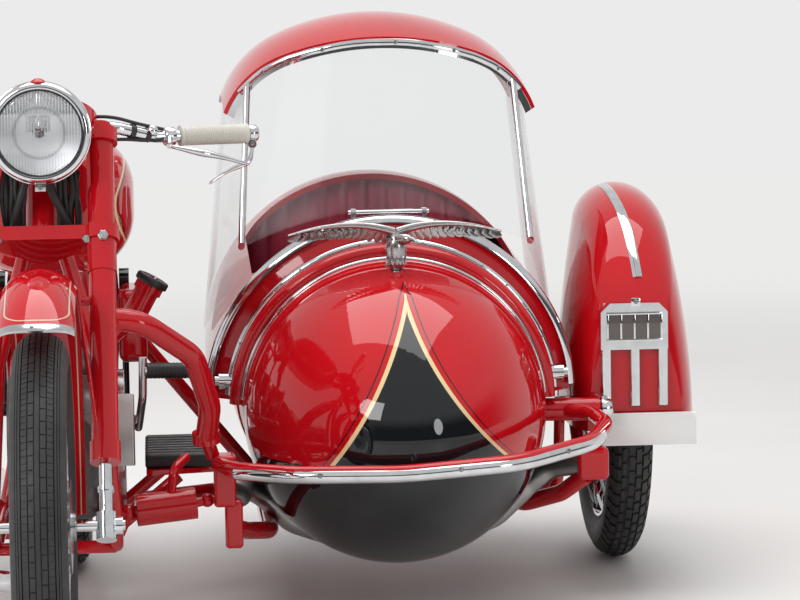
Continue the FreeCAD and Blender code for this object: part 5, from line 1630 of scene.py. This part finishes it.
lever = {
    "clipBack": 154.0,
    "wide": 6.5,
    "thick": 6.0,
    "pivot": (377, 466, 948),
    "cap": [(-2, 11.2), (-2, 15), (2, 16), (11, 16), (15, 13), (17, 6), (17.5, 0), (-2, 0)],
    "clip": [(-10, 11.2), (-10, 15.5), (-8, 17), (8, 17), (10, 15.5), (10, 11.2)],
    "eye": [(-7, 0), (-7, 7), (-5, 8.5), (5, 8.5), (7, 7), (7, 0)],
    "arm": ((0, -14, -2), (0, -26, -8), (0, -40, -16)),
    # along the bar in metres, then a step in millimetres
    "blade": ((0.0, (0, -38, -16)), (0.040, (0, -49, -25)), (0.100, (0, -52, -38)), (0.152, (0, -45, -54))),
    "inverted": [(378, 466, 950), (376, 460, 932), (370, 455, 914), (345, 450, 906), (316, 441, 892), (296, 432, 878)],
}


def bladeMesh(route, wide, thick, steps=12):
    # a flat lever, fuller in its middle, with a round end
    points = curvePoints(route, steps)
    last = len(points) - 1
    mesh = sweptMesh("blade", points, [Vector((0, 0, 1))] * len(points), oval(wide, thick, 12), crease=60.0)
    form = bmesh.new()
    form.from_mesh(mesh)
    for vertex in form.verts:
        index = nearest(points, vertex.co)
        share = index / last
        full = 0.62 + 0.5 * math.sin(math.pi * min(1.0, share * 1.15)) ** 2
        full *= 0.45 if index in (0, last) else 0.85 if index in (1, last - 1) else 1.0
        vertex.co = points[index] + (vertex.co - points[index]) * full
    form.to_mesh(mesh)
    form.free()
    return mesh


def makeLevers(size):
    meshes, screws = [], []
    for side in (1, -1):
        inner, outer = barEnds(side)
        along = (outer - inner).normalized()
        meshes.append(turnedMesh("cap", size["cap"], outer, along, 32))
        clipAt = outer - along * size["clipBack"] * mm
        meshes.append(turnedMesh("clip", size["clip"], clipAt, along, 32))
        arm = [clipAt + off(*place) for place in size["arm"]]
        meshes.append(tubeMesh("arm", arm, 6.0, sides=12))
        blade = [clipAt + along * far + off(*step) for far, step in size["blade"]]
        inverted = [at(side * x, y, z) for x, y, z in size["inverted"]]
        for route, scale in ((blade, 1.0), (inverted, 0.8)):
            meshes.append(bladeMesh(route, size["wide"] * scale, size["thick"] * scale))
        pivot = at(side * size["pivot"][0], *size["pivot"][1:])
        meshes.append(turnedMesh("eye", size["eye"], pivot, (0, 1, 0), 20))
        screws += [(pivot + off(0, -7, 0), (0, -1, 0)), (arm[-1] + off(0, 0, 5), (0, -0.3, 1))]
    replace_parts(add("lever_blades", joined("levers", meshes), "chrome", "steering"), "hand_levers")
    fasten("lever_screws", "domeScrew", 4.2, screws, "steering")


makeLevers(lever)
say("levers shaped")

# ---- upholstered lining between the rear deck's edge and the backrest

lining = {
    "back": 1536.0,
    "reach": 262.0,
    "tall": 150.0,
    "pitch": 44.0,
    "swell": 9.0,
    "thick": 6.0,
    "columns": 132,
    "rows": 14,
    "castFrom": 500.0,
    "gap": 2.0,
}


def makeLining(size):
    middle, back = middleOf("sidecar_cowl").x, at(0, size["back"], 0).y
    columns = [size["reach"] * (2 * column / size["columns"] - 1) for column in range(size["columns"] + 1)]
    tops = [meet("sidecar_cowl", Vector((middle + x * mm, back, size["castFrom"] * mm)), (0, 0, 1))[0].z
            - size["gap"] * mm for x in columns]
    fronts, backs = [], []
    for row in range(size["rows"] + 1):
        down = row / size["rows"]
        fronts.append([])
        backs.append([])
        for x, top in zip(columns, tops):
            channel = abs(math.sin(math.pi * x / size["pitch"])) ** 0.5
            out = size["swell"] * channel * math.sin(math.pi * min(1.0, 0.12 + down)) ** 0.6
            place = Vector((middle + x * mm, back, top - down * size["tall"] * mm))
            fronts[-1].append(place - off(0, out, 0))
            backs[-1].append(place + off(0, size["thick"], 0))
    mesh = slabMesh("lining", backs, fronts, 70.0)
    add("cockpit_lining", mesh, "maroonLeather", "outfit")


makeLining(lining)
say("cockpit lined")

# ---- light, floor and backdrop

studio = {
    "view": "Standard",
    "horizon": 0.83,
    "ceiling": 0.70,
    "front": 0.08,
    "floor": (0.80, 0.79, 0.775, 1.0),
    "backdrop": (0.83, 0.83, 0.82, 1.0),
    "floorHalf": 14.0,
    "fade": (3.2, 7.5),
    "rise": (0.10, 0.45),
    "darkWay": (0.05, 0.60),
    "darkTop": (0.16, 0.40),
}
# name, shape, place, aim, width, height, watts
lamps = [
    ("keyLamp", "RECTANGLE", (-3.4, -4.4, 3.4), (0.0, -0.2, 0.5), 2.6, 2.0, 130.0),
    ("fillLamp", "ELLIPSE", (3.2, -4.6, 1.4), (0.2, 0.0, 0.5), 0.9, 1.5, 24.0),
    ("topLamp", "RECTANGLE", (0.2, 0.6, 4.6), (0.0, 0.0, 0.5), 4.2, 3.2, 120.0),
]


def makeWorld(size):
    world = bpy.data.worlds.new("studio")
    world.use_nodes = True
    tree = world.node_tree
    way = addNode(tree, "ShaderNodeTexCoord", {}, {}, "Generated")
    x, y, z = parts(tree, way)
    rise = smooth(tree, z, *size["rise"])
    ahead = smooth(tree, x * 0.55 - y, *size["darkWay"]) * (1.0 - smooth(tree, z, *size["darkTop"]))
    level = size["horizon"] * (1.0 - rise) + size["ceiling"] * rise
    level = level * (1.0 - ahead) + size["front"] * ahead
    glow = tree.nodes["Background"]
    glow.inputs["Color"].default_value = (1.0, 1.0, 1.0, 1.0)
    join(tree, level, glow.inputs["Strength"])
    bpy.context.scene.world = world


def makeFloor(size):
    half = size["floorHalf"]
    mesh = bpy.data.meshes.new("floor")
    mesh.from_pydata([(-half, -half, 0), (half, -half, 0), (half, half, 0), (-half, half, 0)], [], [(0, 1, 2, 3)])
    floor = linked("floor", mesh)
    material, tree, shader = newFinish("paleFloor", {"Roughness": 0.55})
    place = objectPlace(tree)
    smudge = spread(tree, noise(tree, place, 1.2), 0.97, 1.02)
    shade = addNode(tree, "ShaderNodeVectorMath", {"operation": "SCALE"}, {0: size["floor"][:3], "Scale": smudge})
    join(tree, shade, shader.inputs["Base Color"])
    away = addNode(tree, "ShaderNodeVectorMath", {"operation": "LENGTH"}, {0: place}, "Value")
    far = smooth(tree, away, *size["fade"])
    glow = addNode(tree, "ShaderNodeEmission", {}, {"Color": size["backdrop"]})
    mixShaders(tree, far, shader.outputs[0], glow.socket)
    mesh.materials.append(material)


def makeLamps():
    for name, shape, place, aim, wide, tall, watts in lamps:
        light = bpy.data.lights.new(name, "AREA")
        light.shape = shape
        light.size = wide
        light.size_y = tall
        light.energy = watts
        made = linked(name, light)
        made.location = place
        made.rotation_euler = (Vector(aim) - Vector(place)).to_track_quat("-Z", "Y").to_euler()


bpy.context.scene.view_settings.view_transform = studio["view"]
makeWorld(studio)
makeFloor(studio)
makeLamps()
say("studio lit")
